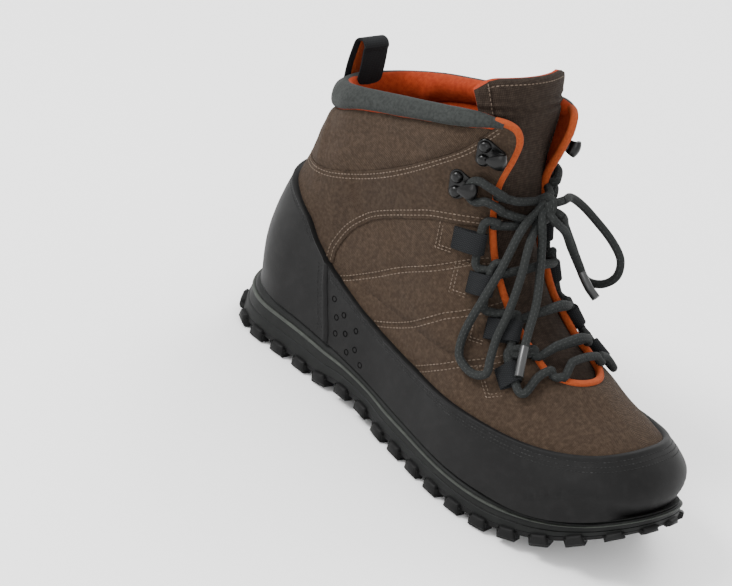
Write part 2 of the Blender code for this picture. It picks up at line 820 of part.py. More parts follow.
def tongue_point(share, rise):
    """Face of the tongue. share runs -1 to 1 across it, rise goes on past 1 above the facings."""
    inside = min(rise, 1.0)
    reach = TONGUE_REACH * blend(-0.6, 0.8, inside)
    vamp = lifted(-share * reach, min(inside, 0.97), -UPPER_WALL - TONGUE_FIT)
    base = feather_height(RIDGE[0][1] * SOLE_LENGTH)
    above = max(rise - 1.0, 0.0)
    x = along(TONGUE_LINE, 1, inside) * SOLE_LENGTH - above * TONGUE_LEAN
    z = base + along(TONGUE_LINE, 2, inside) * (FACING_HEIGHT - base)
    z += above * (TONGUE_HEIGHT - FACING_HEIGHT)
    half = TONGUE_HALF_WIDTH * (0.90 + 0.15 * above)
    crown = TONGUE_CROWN * half * share * share
    x, z = x - crown, z - 0.3 * crown
    side = 1 if share < 0 else 2
    room = half_width(x, min(z, FACING_HEIGHT), side) - UPPER_WALL - TONGUE_FIT + max(z - FACING_HEIGHT, 0.0)
    free = Vector((x, math.copysign(min(half * abs(share), room), share), z))
    return vamp.lerp(free, blend(*TONGUE_FREE, rise))


def make_tongue(parts, finish):
    """Padded tongue under the facings, standing above them."""
    columns = 10
    rises = [TONGUE_START, 0.36, 0.43, 0.50, 0.57, 0.64, 0.71, 0.78, 0.86, 0.94, 1.0, 1.5, 2.0]
    rows = [[tongue_point(1 - 2 * i / columns, rise) for i in range(columns + 1)] for rise in rises]
    build = patch(rows)
    tongue = smooth(node("tongue", build, finish, parts))
    return thicken(tongue, TONGUE_THICKNESS, outward=False)


def surface_frame(around, rise, height):
    """Matrix of a place on the upper: x forwards along it, z out of it, y across them."""
    out = normal(around, rise)
    towards = -1.0 if around > 0 else 1.0
    forward = surface(around + 0.01 * towards, rise) - surface(around, rise)
    forward = (forward - out * forward.dot(out)).normalized()
    frame = Matrix((forward, out.cross(forward), out)).transposed().to_4x4()
    frame.translation = lifted(around, rise, height)
    return frame


def ribbon(path, thickness, width):
    """Strap of one width along a path of x and z points, its thickness to the path's right."""
    rings = []
    for i, (x, z) in enumerate(path):
        before, after = path[max(i - 1, 0)], path[min(i + 1, len(path) - 1)]
        direction = Vector((after[0] - before[0], after[1] - before[1])).normalized()
        edge_x, edge_z = x + direction.y * thickness, z - direction.x * thickness
        corners = [(x, -width / 2, z), (x, width / 2, z)]
        rings.append(corners + [(edge_x, width / 2, edge_z), (edge_x, -width / 2, edge_z)])
    build = bmesh.new()
    grid = quads(build, rings, close=True)
    build.faces.new(grid[0][::-1])
    build.faces.new(grid[-1])
    return build


def loop_path(length):
    """Folded strap's inner line seen from its side: along the upper, round the lace, and back."""
    bore = LACE_DIAMETER / 2 + FIT
    eye = length - bore - WEBBING_THICKNESS
    middle = WEBBING_THICKNESS + bore
    turns = [math.radians(-90 + 180 * i / 5) for i in range(6)]
    round_part = [(eye + bore * math.cos(turn), middle + bore * math.sin(turn)) for turn in turns]
    return [(0.0, WEBBING_THICKNESS), *round_part, (0.0, WEBBING_THICKNESS + 2 * FIT)]


def side_name(inner):
    return "inner" if inner else "outer"


def loop_map(row, inner):
    """Length of a lace loop, and a function from its own axes to the upper.

    The function takes x from the anchor towards the eye, y across the strap, upwards, and z off the upper.
    """
    sign = -1 if inner else 1
    anchor, eye = Vector((sign * row[0], row[1])), Vector((sign * row[2], row[3]))
    length = (surface(*anchor) - surface(*eye)).length
    step = 0.01
    round_span = (surface(eye.x + step, eye.y) - surface(eye.x - step, eye.y)).length / (2 * step)
    rise_span = (surface(eye.x, eye.y + step) - surface(eye.x, eye.y - step)).length / (2 * step)
    run = Vector(((eye.x - anchor.x) * round_span, (eye.y - anchor.y) * rise_span)).normalized()
    across = Vector((-sign * -run.y, -sign * run.x))

    def at(x, y, z):
        place = anchor + (eye - anchor) * (x / length)
        around = place.x + y * across.x / round_span
        rise = place.y + y * across.y / rise_span
        return lifted(around, rise, z + TRIM_FIT)

    return length, at


def make_lace_loops(parts, finish):
    """Webbing loops that stand on the upper, folded round the lace at their front end."""
    for number, row in enumerate(LOOPS, start=1):
        for inner in (False, True):
            length, at = loop_map(row, inner)
            build = ribbon(loop_path(length), WEBBING_THICKNESS, WEBBING_WIDTH)
            for vert in build.verts:
                vert.co = at(*vert.co)
            node(f"lace_loop_{side_name(inner)}_{number}", face_out(build), finish, parts)


def add_dome(build, x, y, base, radius, height):
    """Rivet head: a short wall with a domed top."""
    sides = 8
    rows = []
    for share, lift in ((1.0, 0.0), (1.0, 0.45), (0.62, 0.9)):
        row = []
        for i in range(sides):
            turn = 2 * math.pi * i / sides
            row.append((x + radius * share * math.cos(turn), y + radius * share * math.sin(turn), base + height * lift))
        rows.append(row)
    grid = quads(build, rows, close=True)
    build.faces.new(grid[0][::-1])
    build.faces.new(grid[-1])


def make_hooks(parts, cutters, finish):
    """Lace hooks: plate with two rivets, and an arm that turns back over the plate."""
    arm_path = [(0.0009, 0.00155), (0.0058, 0.0015), (0.0085, 0.0027), (0.0088, 0.0052), (0.0066, 0.0070), (0.0030, 0.0074)]
    for number, (rise, around) in enumerate(HOOKS, start=1):
        for inner in (False, True):
            frame = surface_frame(-around if inner else around, rise, TRIM_FIT)
            label = f"lace_hook_{side_name(inner)}_{number}"
            plate = bmesh.new()
            bmesh.ops.create_cube(plate, size=1.0)
            bmesh.ops.scale(plate, vec=(0.0095, 0.0165, HOOK_PLATE), verts=plate.verts)
            bmesh.ops.translate(plate, vec=(-0.0025, 0.0, HOOK_PLATE / 2), verts=plate.verts)
            plate.transform(frame)
            hook = node(label, plate, finish, parts)
            tools = bmesh.new()
            for y in (-0.0041, 0.0041):
                add_dome(tools, -0.0030, y, HOOK_PLATE / 3, RIVET_RADIUS, 0.0026)
            bmesh.ops.recalc_face_normals(tools, faces=tools.faces)
            arm = ribbon(arm_path, HOOK_PLATE, 0.0072)
            arm_mesh = bpy.data.meshes.new(label + "_arm")
            arm.to_mesh(arm_mesh)
            arm.free()
            tools.from_mesh(arm_mesh)
            bpy.data.meshes.remove(arm_mesh)
            tools.transform(frame)
            cutter = node(label + "_add", face_out(tools), finish, cutters)
            cutter.hide_render = True
            cutter.display_type = "WIRE"
            union = hook.modifiers.new("rivets", "BOOLEAN")
            union.operation = "UNION"
            union.object = cutter


def make_studs(parts, finish):
    """Steel studs: a washer head on the dish and a pin that stops just above the floor."""
    head = DISH_LIFT - FIT
    steps = [
        (head, STUD_RADIUS),
        (head - STUD_HEAD, STUD_RADIUS),
        (head - STUD_HEAD, STUD_PIN_RADIUS),
        (STUD_TIP_LIFT, STUD_PIN_RADIUS),
    ]
    for number, (x_share, y_share) in enumerate(DISHES, start=1):
        build = bmesh.new()
        rows = []
        for lift, radius in steps:
            circle = disc_outline(x_share * SOLE_LENGTH, y_share * BALL_WIDTH, radius, 8)
            rows.append([(x, y, ground_height(x) + lift) for x, y in circle])
        grid = quads(build, rows, close=True)
        build.faces.new(grid[0])
        build.faces.new(grid[-1])
        node(f"stud_{number}", face_out(build), finish, parts)


def curve_through(points, count):
    """Evenly numbered points on a smooth curve through a few points."""
    walked, rows = 0.0, []
    for i, point in enumerate(points):
        if i:
            walked += (Vector(point) - Vector(points[i - 1])).length
        rows.append((walked, *point))
    places = [walked * i / count for i in range(count + 1)]
    return [Vector([along(rows, column, place) for column in (1, 2, 3)]) for place in places]


def tube(name, points, finish, collection):
    """Round lace along points measured from the heel, as a curve with closed ends."""
    data = bpy.data.curves.new(name, "CURVE")
    data.dimensions = "3D"
    data.bevel_depth = LACE_DIAMETER / 2
    data.bevel_resolution = 2
    data.use_fill_caps = True
    spline = data.splines.new("POLY")
    spline.points.add(len(points) - 1)
    for place, point in zip(spline.points, points):
        place.co = (*(Vector(point) + TO_ORIGIN), 1.0)
    made = bpy.data.objects.new(name, data)
    made.data.materials.append(finish)
    collection.objects.link(made)
    return made


def tube_mesh(points, finish, collection):
    """Mesh of a lace, with its end caps welded on."""
    spare = tube("spare_lace", points, finish, collection)
    graph = bpy.context.evaluated_depsgraph_get()
    mesh = bpy.data.meshes.new_from_object(spare.evaluated_get(graph))
    mesh.transform(spare.matrix_world)
    curve = spare.data
    bpy.data.objects.remove(spare, do_unlink=True)
    bpy.data.curves.remove(curve)
    build = bmesh.new()
    build.from_mesh(mesh)
    bmesh.ops.remove_doubles(build, verts=build.verts, dist=1e-6)
    bpy.data.meshes.remove(mesh)
    return face_out(build)


def joined_tubes(name, paths, finish, parts, cutters):
    """Node of several laces that run into each other."""
    made = None
    for number, path in enumerate(paths):
        build = tube_mesh(path, finish, parts)
        bmesh.ops.translate(build, verts=build.verts, vec=-TO_ORIGIN)
        if made is None:
            made = node(name, build, finish, parts)
            continue
        other = node(f"{name}_add_{number}", build, finish, cutters)
        other.hide_render = True
        other.display_type = "WIRE"
        union = made.modifiers.new(f"strand_{number}", "BOOLEAN")
        union.operation = "UNION"
        union.solver = "EXACT"
        union.object = other
    weld = made.modifiers.new("weld", "WELD")
    weld.merge_threshold = WELD
    return made


def loop_exit(number, inner, upwards):
    """Points at which the lace leaves a loop, upwards or downwards."""
    length, at = loop_map(LOOPS[number], inner)
    bore = LACE_DIAMETER / 2 + FIT
    sign = 1 if upwards else -1
    points = []
    for forwards, past in LACE_EXIT:
        x = length - bore - WEBBING_THICKNESS + forwards
        points.append(at(x, sign * (WEBBING_WIDTH / 2 + past), WEBBING_THICKNESS + bore))
    return points


def hook_exit(inner, upwards):
    """Point in front of a lower hook at which a strand ends."""
    rise, around = HOOKS[0]
    frame = surface_frame(-around if inner else around, rise, TRIM_FIT)
    across = Vector(frame.col[1][:3])
    sign = (1 if upwards else -1) * math.copysign(1.0, across.z)
    return frame @ Vector((HOOK_STOP, sign * HOOK_STRANDS, LACE_DIAMETER / 2 + HOOK_PLATE + FIT))


def over_throat(start, end, crossing, from_inner):
    """Path of a strand from one side of the throat to the other."""
    rise, middle, edge = crossing
    side = -FACING_PLACE if from_inner else FACING_PLACE
    if from_inner:
        middle += STRAND_OVER
    over = [lifted(side, rise - STRAND_LIFT, edge), lifted(0.0, rise, middle), lifted(-side, rise - STRAND_LIFT, edge)]
    return curve_through([*start, *over, *end[::-1]], STRAND_STEPS)


def make_lacing(parts, cutters, finish):
    """Bar at the toe end, crossings up the throat, and the strand that carries the knot."""
    bar = [*loop_exit(0, False, False), *[lifted(*place) for place in BAR]]
    bar += [lifted(-around, rise, height) for around, rise, height in BAR[-2::-1]]
    bar += loop_exit(0, True, False)[::-1]
    tube("lace_bar", curve_through(bar, 14), finish, parts)
    for number, crossing in enumerate(CROSSINGS):
        paths = []
        for inner in (False, True):
            start = loop_exit(number, inner, True)
            last = number == len(CROSSINGS) - 1
            end = [hook_exit(not inner, False)] if last else loop_exit(number + 1, not inner, False)
            paths.append(over_throat(start, end, crossing, inner))
        joined_tubes(f"lace_crossing_{number + 1}", paths, finish, parts, cutters)
    rise, height = TOP_STRAND
    behind = Vector(KNOT) - Vector((LACE_DIAMETER + KNOT_SINK, 0.0, 0.0))
    facings = [lifted(FACING_PLACE, rise, height), behind, lifted(-FACING_PLACE, rise, height)]
    tube("lace_top", curve_through([hook_exit(False, True), *facings, hook_exit(True, True)], 10), finish, parts)


def make_bow(parts, cutters, finish):
    """Knot with the starts of its laces, and the two bows and two ends that hang from it."""
    knot = Vector(KNOT)
    outer_first, outer_last = [knot + Vector(step) for step in LEAVE_OUTER_BOW]
    inner_first, inner_last = [knot + Vector(step) for step in LEAVE_INNER_BOW]
    paths = {
        "lace_bow_outer": [knot, outer_first, *[lifted(*place) for place in OUTER_BOW], outer_last, knot],
        "lace_bow_inner": [knot, inner_first, *[Vector(place) for place in INNER_BOW], inner_last, knot],
        "lace_end_outer": [knot, knot + Vector(LEAVE_OUTER_END), *[lifted(*place) for place in OUTER_END]],
        "lace_end_inner": [knot, knot + Vector(LEAVE_INNER_END), *[Vector(place) for place in INNER_END]],
    }
    leaving = []
    for name, path in paths.items():
        fine = curve_through(path, LACE_STEPS)
        free = [point for point in fine if (point - knot).length > KNOT_REACH + KNOT_GAP]
        step = BOW_STEP if "bow" in name else END_STEP
        tube(name, free[:-step // 2:step] + [free[-1]], finish, parts)
        half = LACE_STEPS // 2
        starts = [fine[:half], fine[:half:-1]] if "bow" in name else [fine[:half]]
        for start in starts:
            inside = [point for point in start if (point - knot).length < KNOT_REACH]
            leaving.append([inside[-1], inside[len(inside) // 2]])
    pairs = ((0, 3), (1, 2), (4, 5))
    turns = []
    for (one, two), step in zip(pairs, KNOT_TURNS):
        turns.append([*leaving[one], knot + Vector(step), *leaving[two][::-1]])
    joined_tubes("lace_knot", turns, finish, parts, cutters)


def make_pull_loop(parts, finish):
    """Webbing loop that stands on the back of the collar."""
    x, z = heel_back(1.0)
    leg, top = 0.0042, PULL_LOOP_RISE
    side = [(leg, FIT), (leg + 0.001, top * 0.6), (leg * 0.6, top * 0.93)]
    path = side + [(0.0, top)] + [(-x, z) for x, z in side[::-1]]
    build = ribbon(path, WEBBING_THICKNESS, PULL_LOOP_WIDTH)
    bmesh.ops.translate(build, vec=(x + 0.001, 0.0, z + TRIM_FIT), verts=build.verts)
    node("pull_loop", face_out(build), finish, parts)


def make_soles(parts, cutters, rubber, foam, sock):
    make_outsole(parts, cutters, rubber)
    make_midsole(parts, foam)
    make_insole(parts, sock)


def main():
    for existing in list(bpy.data.objects):
        bpy.data.objects.remove(existing, do_unlink=True)
    parts = bpy.data.collections.new("wading_boot")
    cutters = bpy.data.collections.new("cutters")
    bpy.context.scene.collection.children.link(parts)
    bpy.context.scene.collection.children.link(cutters)
    rubber = material("black_rubber", (0.018, 0.018, 0.018), 0.62)
    foam = material("dark_foam", (0.035, 0.040, 0.036), 0.70)
    fabric = material("brown_fabric", (0.115, 0.082, 0.060), 0.90)
    sock = material("footbed_fabric", (0.050, 0.048, 0.045), 0.90)
    padding = material("grey_padding", (0.060, 0.066, 0.066), 0.85)
    webbing = material("grey_webbing", (0.050, 0.052, 0.056), 0.80)
    black_metal = material("black_metal", (0.012, 0.012, 0.013), 0.35, 1.0)
    steel = material("steel", (0.60, 0.60, 0.62), 0.30, 1.0)
    lace = material("lace", (0.045, 0.050, 0.050), 0.80)
    make_soles(parts, cutters, rubber, foam, sock)
    make_upper(parts, fabric)
    make_rand(parts, rubber)
    make_counter(parts, rubber)
    make_collar(parts, padding)
    make_tongue(parts, fabric)
    make_lace_loops(parts, webbing)
    make_hooks(parts, cutters, black_metal)
    make_studs(parts, steel)
    make_pull_loop(parts, webbing)
    make_lacing(parts, cutters, lace)
    make_bow(parts, cutters, lace)


main()
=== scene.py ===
"""Looks of a lace-up wading boot: woven upper, rubber rand, studded sole, hooks, webbing and laces.

Metres, +Z up, toe towards +X, outer side towards -Y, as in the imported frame. Every soft or rubber
piece is worked out from one surface of the last, with two parameters: "around" runs from 0 at the
front ridge over the outer side to 1 at the back of the heel and to 2 at the front again, and "rise"
from 0 at the feather line to 1 at the top edge. Negative values of around are the inner side.
"""

import json
import logging
import math
from dataclasses import dataclass
from enum import Enum
from functools import lru_cache
from typing import Callable, Optional, Sequence

import bmesh
import bpy
import numpy as np
from mathutils import Matrix, Vector
from mathutils.bvhtree import BVHTree

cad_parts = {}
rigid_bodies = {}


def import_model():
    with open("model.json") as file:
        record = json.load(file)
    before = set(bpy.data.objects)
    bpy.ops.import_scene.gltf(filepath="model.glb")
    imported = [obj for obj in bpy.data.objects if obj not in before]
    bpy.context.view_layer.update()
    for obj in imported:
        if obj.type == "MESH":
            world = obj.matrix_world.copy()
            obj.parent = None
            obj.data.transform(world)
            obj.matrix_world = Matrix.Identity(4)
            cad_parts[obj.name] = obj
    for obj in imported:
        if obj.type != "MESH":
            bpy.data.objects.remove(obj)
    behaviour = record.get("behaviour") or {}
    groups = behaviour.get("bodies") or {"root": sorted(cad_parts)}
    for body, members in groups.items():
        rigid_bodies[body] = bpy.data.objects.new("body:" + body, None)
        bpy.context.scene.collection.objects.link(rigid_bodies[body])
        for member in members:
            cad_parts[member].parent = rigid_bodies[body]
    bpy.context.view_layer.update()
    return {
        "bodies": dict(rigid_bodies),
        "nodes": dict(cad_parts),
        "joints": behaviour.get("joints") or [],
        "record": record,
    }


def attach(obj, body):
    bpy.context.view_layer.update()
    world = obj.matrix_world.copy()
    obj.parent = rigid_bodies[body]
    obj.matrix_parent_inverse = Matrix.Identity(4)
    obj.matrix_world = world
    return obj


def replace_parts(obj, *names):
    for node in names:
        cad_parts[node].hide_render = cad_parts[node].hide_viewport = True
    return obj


LOG = logging.getLogger("wading_boot")
Rows = tuple[tuple[float, ...], ...]
BODY = "root"

SOLE_LENGTH = 0.318
BALL_WIDTH = 0.114
ANKLE_WIDTH = 0.071
HEEL_HEIGHT = 0.031
FACING_HEIGHT = 0.204
COLLAR_HEIGHT = 0.165
TONGUE_HEIGHT = 0.224
UPPER_WALL = 0.0022
FLANGE = 0.004
LACE_DIAMETER = 0.0048
WEBBING_THICKNESS = 0.0012
WEBBING_WIDTH = 0.012
FIT = 0.0003
TRIM_FIT = 0.0007

SOLE_WIDTHS: Rows = (
    (0.00, 0.350, 0.350), (0.12, 0.365, 0.365), (0.25, 0.355, 0.345), (0.40, 0.375, 0.330),
    (0.52, 0.430, 0.365), (0.64, 0.490, 0.460), (0.72, 0.500, 0.498), (0.82, 0.480, 0.495),
    (1.00, 0.430, 0.470),
)
FEATHER: Rows = (
    (0.00, 1.00), (0.15, 0.98), (0.30, 0.88), (0.45, 0.75), (0.60, 0.68), (0.72, 0.68),
    (0.84, 0.80), (0.93, 1.08), (1.00, 1.50),
)
GROUND: Rows = (
    (0.00, 0.30), (0.025, 0.10), (0.06, 0.00), (0.28, 0.00), (0.34, 0.10), (0.42, 0.10),
    (0.48, 0.00), (0.72, 0.00), (0.80, 0.06), (0.90, 0.36), (1.00, 1.00),
)
RIDGE: Rows = (
    (0.00, 0.968, 0.000), (0.05, 0.977, 0.060), (0.10, 0.963, 0.125), (0.16, 0.925, 0.180),
    (0.24, 0.853, 0.232), (0.33, 0.773, 0.284), (0.42, 0.699, 0.348), (0.52, 0.629, 0.440),
    (0.64, 0.569, 0.575), (0.76, 0.540, 0.730), (0.88, 0.553, 0.875), (1.00, 0.560, 1.000),
)
BACK: Rows = (
    (0.00, 0.032, 0.000), (0.15, 0.022, 0.130), (0.30, 0.022, 0.262), (0.45, 0.034, 0.418),
    (0.60, 0.054, 0.580), (0.75, 0.075, 0.745), (0.88, 0.088, 0.880), (1.00, 0.094, 1.000),
)
SHAFT_WIDTHS: Rows = (
    (0.15, 0.580, 0.580), (0.35, 0.530, 0.530), (0.50, 0.506, 0.506), (0.65, 0.500, 0.500),
    (0.80, 0.522, 0.522), (1.00, 0.546, 0.546),
)
FRONT_ROUND: Rows = (
    (0.00, 0.50, 0.38), (0.16, 0.46, 0.38), (0.33, 0.46, 0.44), (0.52, 0.50, 0.50),
    (0.76, 0.46, 0.46), (1.00, 0.42, 0.42),
)
BACK_ROUND = 0.35
TOP_CROWN: Rows = (
    (0.00, 0.000), (0.25, 0.012), (0.50, 0.022), (0.72, 0.030), (0.86, 0.026), (1.00, 0.000),
)
THROAT_START = 0.325
THROAT_ROUND = 0.040
THROAT_GAP = 0.038
THROAT_WIDTHS: Rows = ((0.365, 0.50), (0.66, 0.50), (0.92, 0.52), (1.00, 0.52))
RAND_TOP: Rows = (
    (0.00, 0.167), (0.14, 0.164), (0.25, 0.169), (0.35, 0.181), (0.45, 0.183), (0.54, 0.208),
    (0.61, 0.285), (0.66, 0.382), (0.70, 0.460), (0.79, 0.518), (1.00, 0.560),
)
COUNTER_SEAM: Rows = ((0.00, 0.648), (0.10, 0.655), (0.20, 0.650), (0.33, 0.636))
COLLAR_LOW: Rows = (
    (0.23, 0.975), (0.34, 0.955), (0.50, 0.940), (0.65, 0.925), (0.75, 0.895), (0.88, 0.870),
    (1.00, 0.860),
)
TONGUE_LINE: Rows = (
    (0.50, 0.629, 0.420), (0.64, 0.566, 0.575), (0.76, 0.523, 0.711), (0.88, 0.508, 0.858),
    (1.00, 0.503, 1.000),
)


def along(rows: Rows, column: int, place: object) -> np.ndarray:
    """Value of a table's column at places between its rows, on a smooth curve.

    Args:
        rows: table whose first column is the place.
        column: index of the column that is read.
        place: one place or an array of them.

    Returns:
        The values, in the shape of place.
    """
    table = np.asarray(rows, float)
    knots, values = table[:, 0], table[:, column]
    slopes = np.empty_like(values)
    slopes[1:-1] = (values[2:] - values[:-2]) / (knots[2:] - knots[:-2])
    slopes[0] = (values[1] - values[0]) / (knots[1] - knots[0])
    slopes[-1] = (values[-1] - values[-2]) / (knots[-1] - knots[-2])
    at = np.clip(np.asarray(place, float), knots[0], knots[-1])
    i = np.clip(np.searchsorted(knots, at, side="right") - 1, 0, len(knots) - 2)
    span = knots[i + 1] - knots[i]
    t = (at - knots[i]) / span
    mix = 3 * t * t - 2 * t ** 3
    ease_in = (t ** 3 - 2 * t * t + t) * slopes[i] * span
    ease_out = (t ** 3 - t * t) * slopes[i + 1] * span
    return (1 - mix) * values[i] + mix * values[i + 1] + ease_in + ease_out


def blend(start: float, end: float, value: object) -> np.ndarray:
    """Soft step from 0 at start to 1 at end."""
    t = np.clip((np.asarray(value, float) - start) / (end - start), 0.0, 1.0)
    return t * t * (3 - 2 * t)


def spread(share: object) -> np.ndarray:
    """Even steps made dense at both ends."""
    return 0.5 - 0.5 * np.cos(np.pi * np.asarray(share, float))


def rounding(distance: object, radius: object, power: float = 2.0) -> np.ndarray:
    """1 inside a shape, falling to 0 at its edge along a round end."""
    left = 1 - np.clip(np.asarray(distance, float) / radius, 0.0, 1.0)
    return (1 - left ** power) ** (1 / power)


def smooth_path(points: Sequence[Sequence[float]], count: int) -> np.ndarray:
    """Evenly spaced points on a smooth curve through a few points.

    Args:
        points: the points that the curve passes.
        count: how many points are returned.

    Returns:
        An array of count points.
    """
    table = np.asarray(points, float)
    steps = np.linalg.norm(np.diff(table, axis=0), axis=1)
    knots = np.concatenate(([0.0], np.cumsum(np.maximum(steps, 1e-7))))
    rows = np.column_stack((knots, table))
    fine = np.linspace(0, knots[-1], count * 6)
    dense = np.column_stack([along(rows, c + 1, fine) for c in range(table.shape[1])])
    run = np.concatenate(([0.0], np.cumsum(np.linalg.norm(np.diff(dense, axis=0), axis=1))))
    even = np.linspace(0, run[-1], count)
    return np.column_stack([np.interp(even, run, dense[:, c]) for c in range(table.shape[1])])


@dataclass(frozen=True)
class Last:
    """The boot's own form: sole outline, heights and the upper's outer surface."""

    ridge_steps: int = 240
    back_steps: int = 160

    def feather(self, x: object) -> np.ndarray:
        """Height of the feather line at x, which is measured from the heel."""
        return along(FEATHER, 1, np.asarray(x) / SOLE_LENGTH) * HEEL_HEIGHT

    def ground(self, x: object) -> np.ndarray:
        """Height of the lugs' tips above the floor."""
        return np.maximum(along(GROUND, 1, np.asarray(x) / SOLE_LENGTH), 0.0) * 0.034

    def profile(self, rows: Rows, top: float, rise: object) -> tuple[np.ndarray, np.ndarray]:
        """Side-view place of the ridge or the back at a rise."""
        base = self.feather(rows[0][1] * SOLE_LENGTH)
        return along(rows, 1, rise) * SOLE_LENGTH, base + along(rows, 2, rise) * (top - base)

    def line(self, rows: Rows, top: float, steps: int) -> np.ndarray:
        """Rise, x and z of points down a profile."""
        rise = np.linspace(0, 1, steps + 1)
        return np.column_stack((rise, *self.profile(rows, top, rise)))

    @staticmethod
    def nearest(
        line: np.ndarray, x: np.ndarray, z: np.ndarray, reach: float
    ) -> tuple[np.ndarray, np.ndarray]:
        """Distance in the side view to a profile, and the rise of its nearest point.

        Args:
            line: rise, x and z of points down the profile.
            x: places along the boot.
            z: heights of the same places.
            reach: distance past which the answer doesn't matter.

        Returns:
            Distances, no more than a little over the reach, and rises.
        """
        flat_x, flat_z = x.ravel(), z.ravel()
        gap, place = np.full(flat_x.size, reach * 1.5), np.ones(flat_x.size)
        coarse = line[::8]
        rough = np.full(flat_x.size, 9.0)
        best = np.zeros(flat_x.size, int)
        for i, (_, cx, cz) in enumerate(coarse):
            away = (flat_x - cx) ** 2 + (flat_z - cz) ** 2
            closer = away < rough
            rough[closer] = away[closer]
            best[closer] = i
        near = np.nonzero(rough < (reach * 1.5) ** 2)[0]
        px, pz, middle = flat_x[near], flat_z[near], best[near] * 8
        found, found_rise = np.full(near.size, 9.0), np.zeros(near.size)
        last = len(line) - 2
        for shift in range(-8, 8):
            i = np.clip(middle + shift, 0, last)
            sx, sz = line[i, 1], line[i, 2]
            dx, dz = line[i + 1, 1] - sx, line[i + 1, 2] - sz
            share = np.clip(((px - sx) * dx + (pz - sz) * dz) / (dx * dx + dz * dz), 0, 1)
            away = np.hypot(px - sx - share * dx, pz - sz - share * dz)
            closer = away < found
            found[closer] = away[closer]
            found_rise[closer] = (line[i, 0] + (line[i + 1, 0] - line[i, 0]) * share)[closer]
        gap[near], place[near] = found, found_rise
        return gap.reshape(x.shape), place.reshape(x.shape)

    def half_widths(self, x: np.ndarray, z: np.ndarray) -> list[np.ndarray]:
        """Half width of the upper at side-view places, for the outer and the inner side."""
        to_ridge, ridge_rise = self.nearest(ridge_line(), x, z, 0.55 * BALL_WIDTH)
        to_back, _ = self.nearest(back_line(), x, z, BACK_ROUND * BALL_WIDTH)
        heel = rounding(to_back, BACK_ROUND * BALL_WIDTH)
        widths = []
        for column in (1, 2):
            foot = along(SOLE_WIDTHS, column, x / SOLE_LENGTH) * BALL_WIDTH - FLANGE
            shaft = along(SHAFT_WIDTHS, column, z / FACING_HEIGHT) * ANKLE_WIDTH
            core = foot + (shaft - foot) * blend(0.25, 0.55, z / FACING_HEIGHT)
            front = rounding(to_ridge, along(FRONT_ROUND, column, ridge_rise) * BALL_WIDTH)
            widths.append(core * front * heel)
        return widths

    def surface(self, around: object, rise: object) -> np.ndarray:
        """Points of the upper's outer surface in the part's frame."""
        around, rise = np.broadcast_arrays(np.mod(np.asarray(around, float), 2.0), np.asarray(rise, float))
        share = spread(np.abs(1 - around))
        back_x, back_z = self.profile(BACK, COLLAR_HEIGHT, rise)
        front_x, front_z = self.profile(RIDGE, FACING_HEIGHT, rise)
        low_back = self.profile(BACK, COLLAR_HEIGHT, 0.0)
        low_front = self.profile(RIDGE, FACING_HEIGHT, 0.0)
        low_x = low_back[0] + (low_front[0] - low_back[0]) * share
        sag = self.feather(low_x) - (low_back[1] + (low_front[1] - low_back[1]) * share)
        crown = along(TOP_CROWN, 1, share) * FACING_HEIGHT * rise ** 4
        x = back_x + (front_x - back_x) * share
        z = back_z + (front_z - back_z) * share + sag * (1 - rise) ** 2 + crown
        outer, inner = self.half_widths(x, z)
        y = np.where(around <= 1, -outer, inner)
        return np.stack((x - SOLE_LENGTH / 2, y - MIDDLE_Y, z), -1)

    def normal(self, around: object, rise: object) -> np.ndarray:
        """Directions out of the upper's surface."""
        around, rise = np.broadcast_arrays(np.asarray(around, float), np.asarray(rise, float))
        across = self.surface(around + 0.004, rise) - self.surface(around - 0.004, rise)
        up = self.surface(around, np.minimum(rise + 0.006, 1.0))
        up = up - self.surface(around, np.maximum(rise - 0.006, 0.0))
        out = np.cross(up, across)
        return out / np.linalg.norm(out, axis=-1, keepdims=True)

    def lifted(self, around: object, rise: object, height: object) -> np.ndarray:
        """Points at a height off the upper's surface."""
        height = np.asarray(height, float)
        return self.surface(around, rise) + self.normal(around, rise) * height[..., None]

    def throat_edge(self, rise: np.ndarray, inner: bool) -> np.ndarray:
        """Around value of the throat's edge at each rise, read from a fine table of it."""
        levels, outer_edge, inner_edge = throat_table()
        return np.interp(rise, levels, inner_edge if inner else outer_edge)


@lru_cache(maxsize=1)
def throat_table() -> tuple[np.ndarray, np.ndarray, np.ndarray]:
    """Rises, and the throat's edge there in around on the outer and the inner side."""
    low = THROAT_START + THROAT_ROUND * np.linspace(0, 1, 60) ** 2
    rise = np.concatenate((low, np.linspace(THROAT_START + THROAT_ROUND, 1, 140)[1:]))
    round_part = 0.5 * np.sqrt(np.clip(1 - (1 - (rise - THROAT_START) / THROAT_ROUND) ** 2, 0, 1))
    table = np.asarray(THROAT_WIDTHS)
    corner = np.clip((rise - 0.92) / 0.08, 0, 1)
    high_part = np.interp(rise, table[:, 0], table[:, 1]) + 0.22 * (1 - np.sqrt(1 - corner ** 2))
    gap = np.where(rise < THROAT_START + THROAT_ROUND, round_part, high_part) * THROAT_GAP
    edges = []
    for sign in (1, -1):
        least, most = np.zeros_like(rise), np.full_like(rise, 0.6)
        for _ in range(18):
            middle = (least + most) / 2
            width = np.abs(LAST.surface(sign * middle, rise)[..., 1] + MIDDLE_Y)
            least, most = np.where(width < gap, middle, least), np.where(width < gap, most, middle)
        edges.append((least + most) / 2)
    return rise, edges[0], edges[1]


def outline(x: np.ndarray, column: int, inset: float, heel_inset: float, toe_inset: float) -> np.ndarray:
    """Half width of a sole layer at places measured from the heel."""
    width = along(SOLE_WIDTHS, column, x / SOLE_LENGTH) * BALL_WIDTH - inset
    heel = rounding(x - heel_inset, 0.36 * BALL_WIDTH, 2.2)
    toe = rounding(SOLE_LENGTH - toe_inset - x, (0.85, 0.55)[column - 1] * BALL_WIDTH, 2.2)
    return width * heel * toe


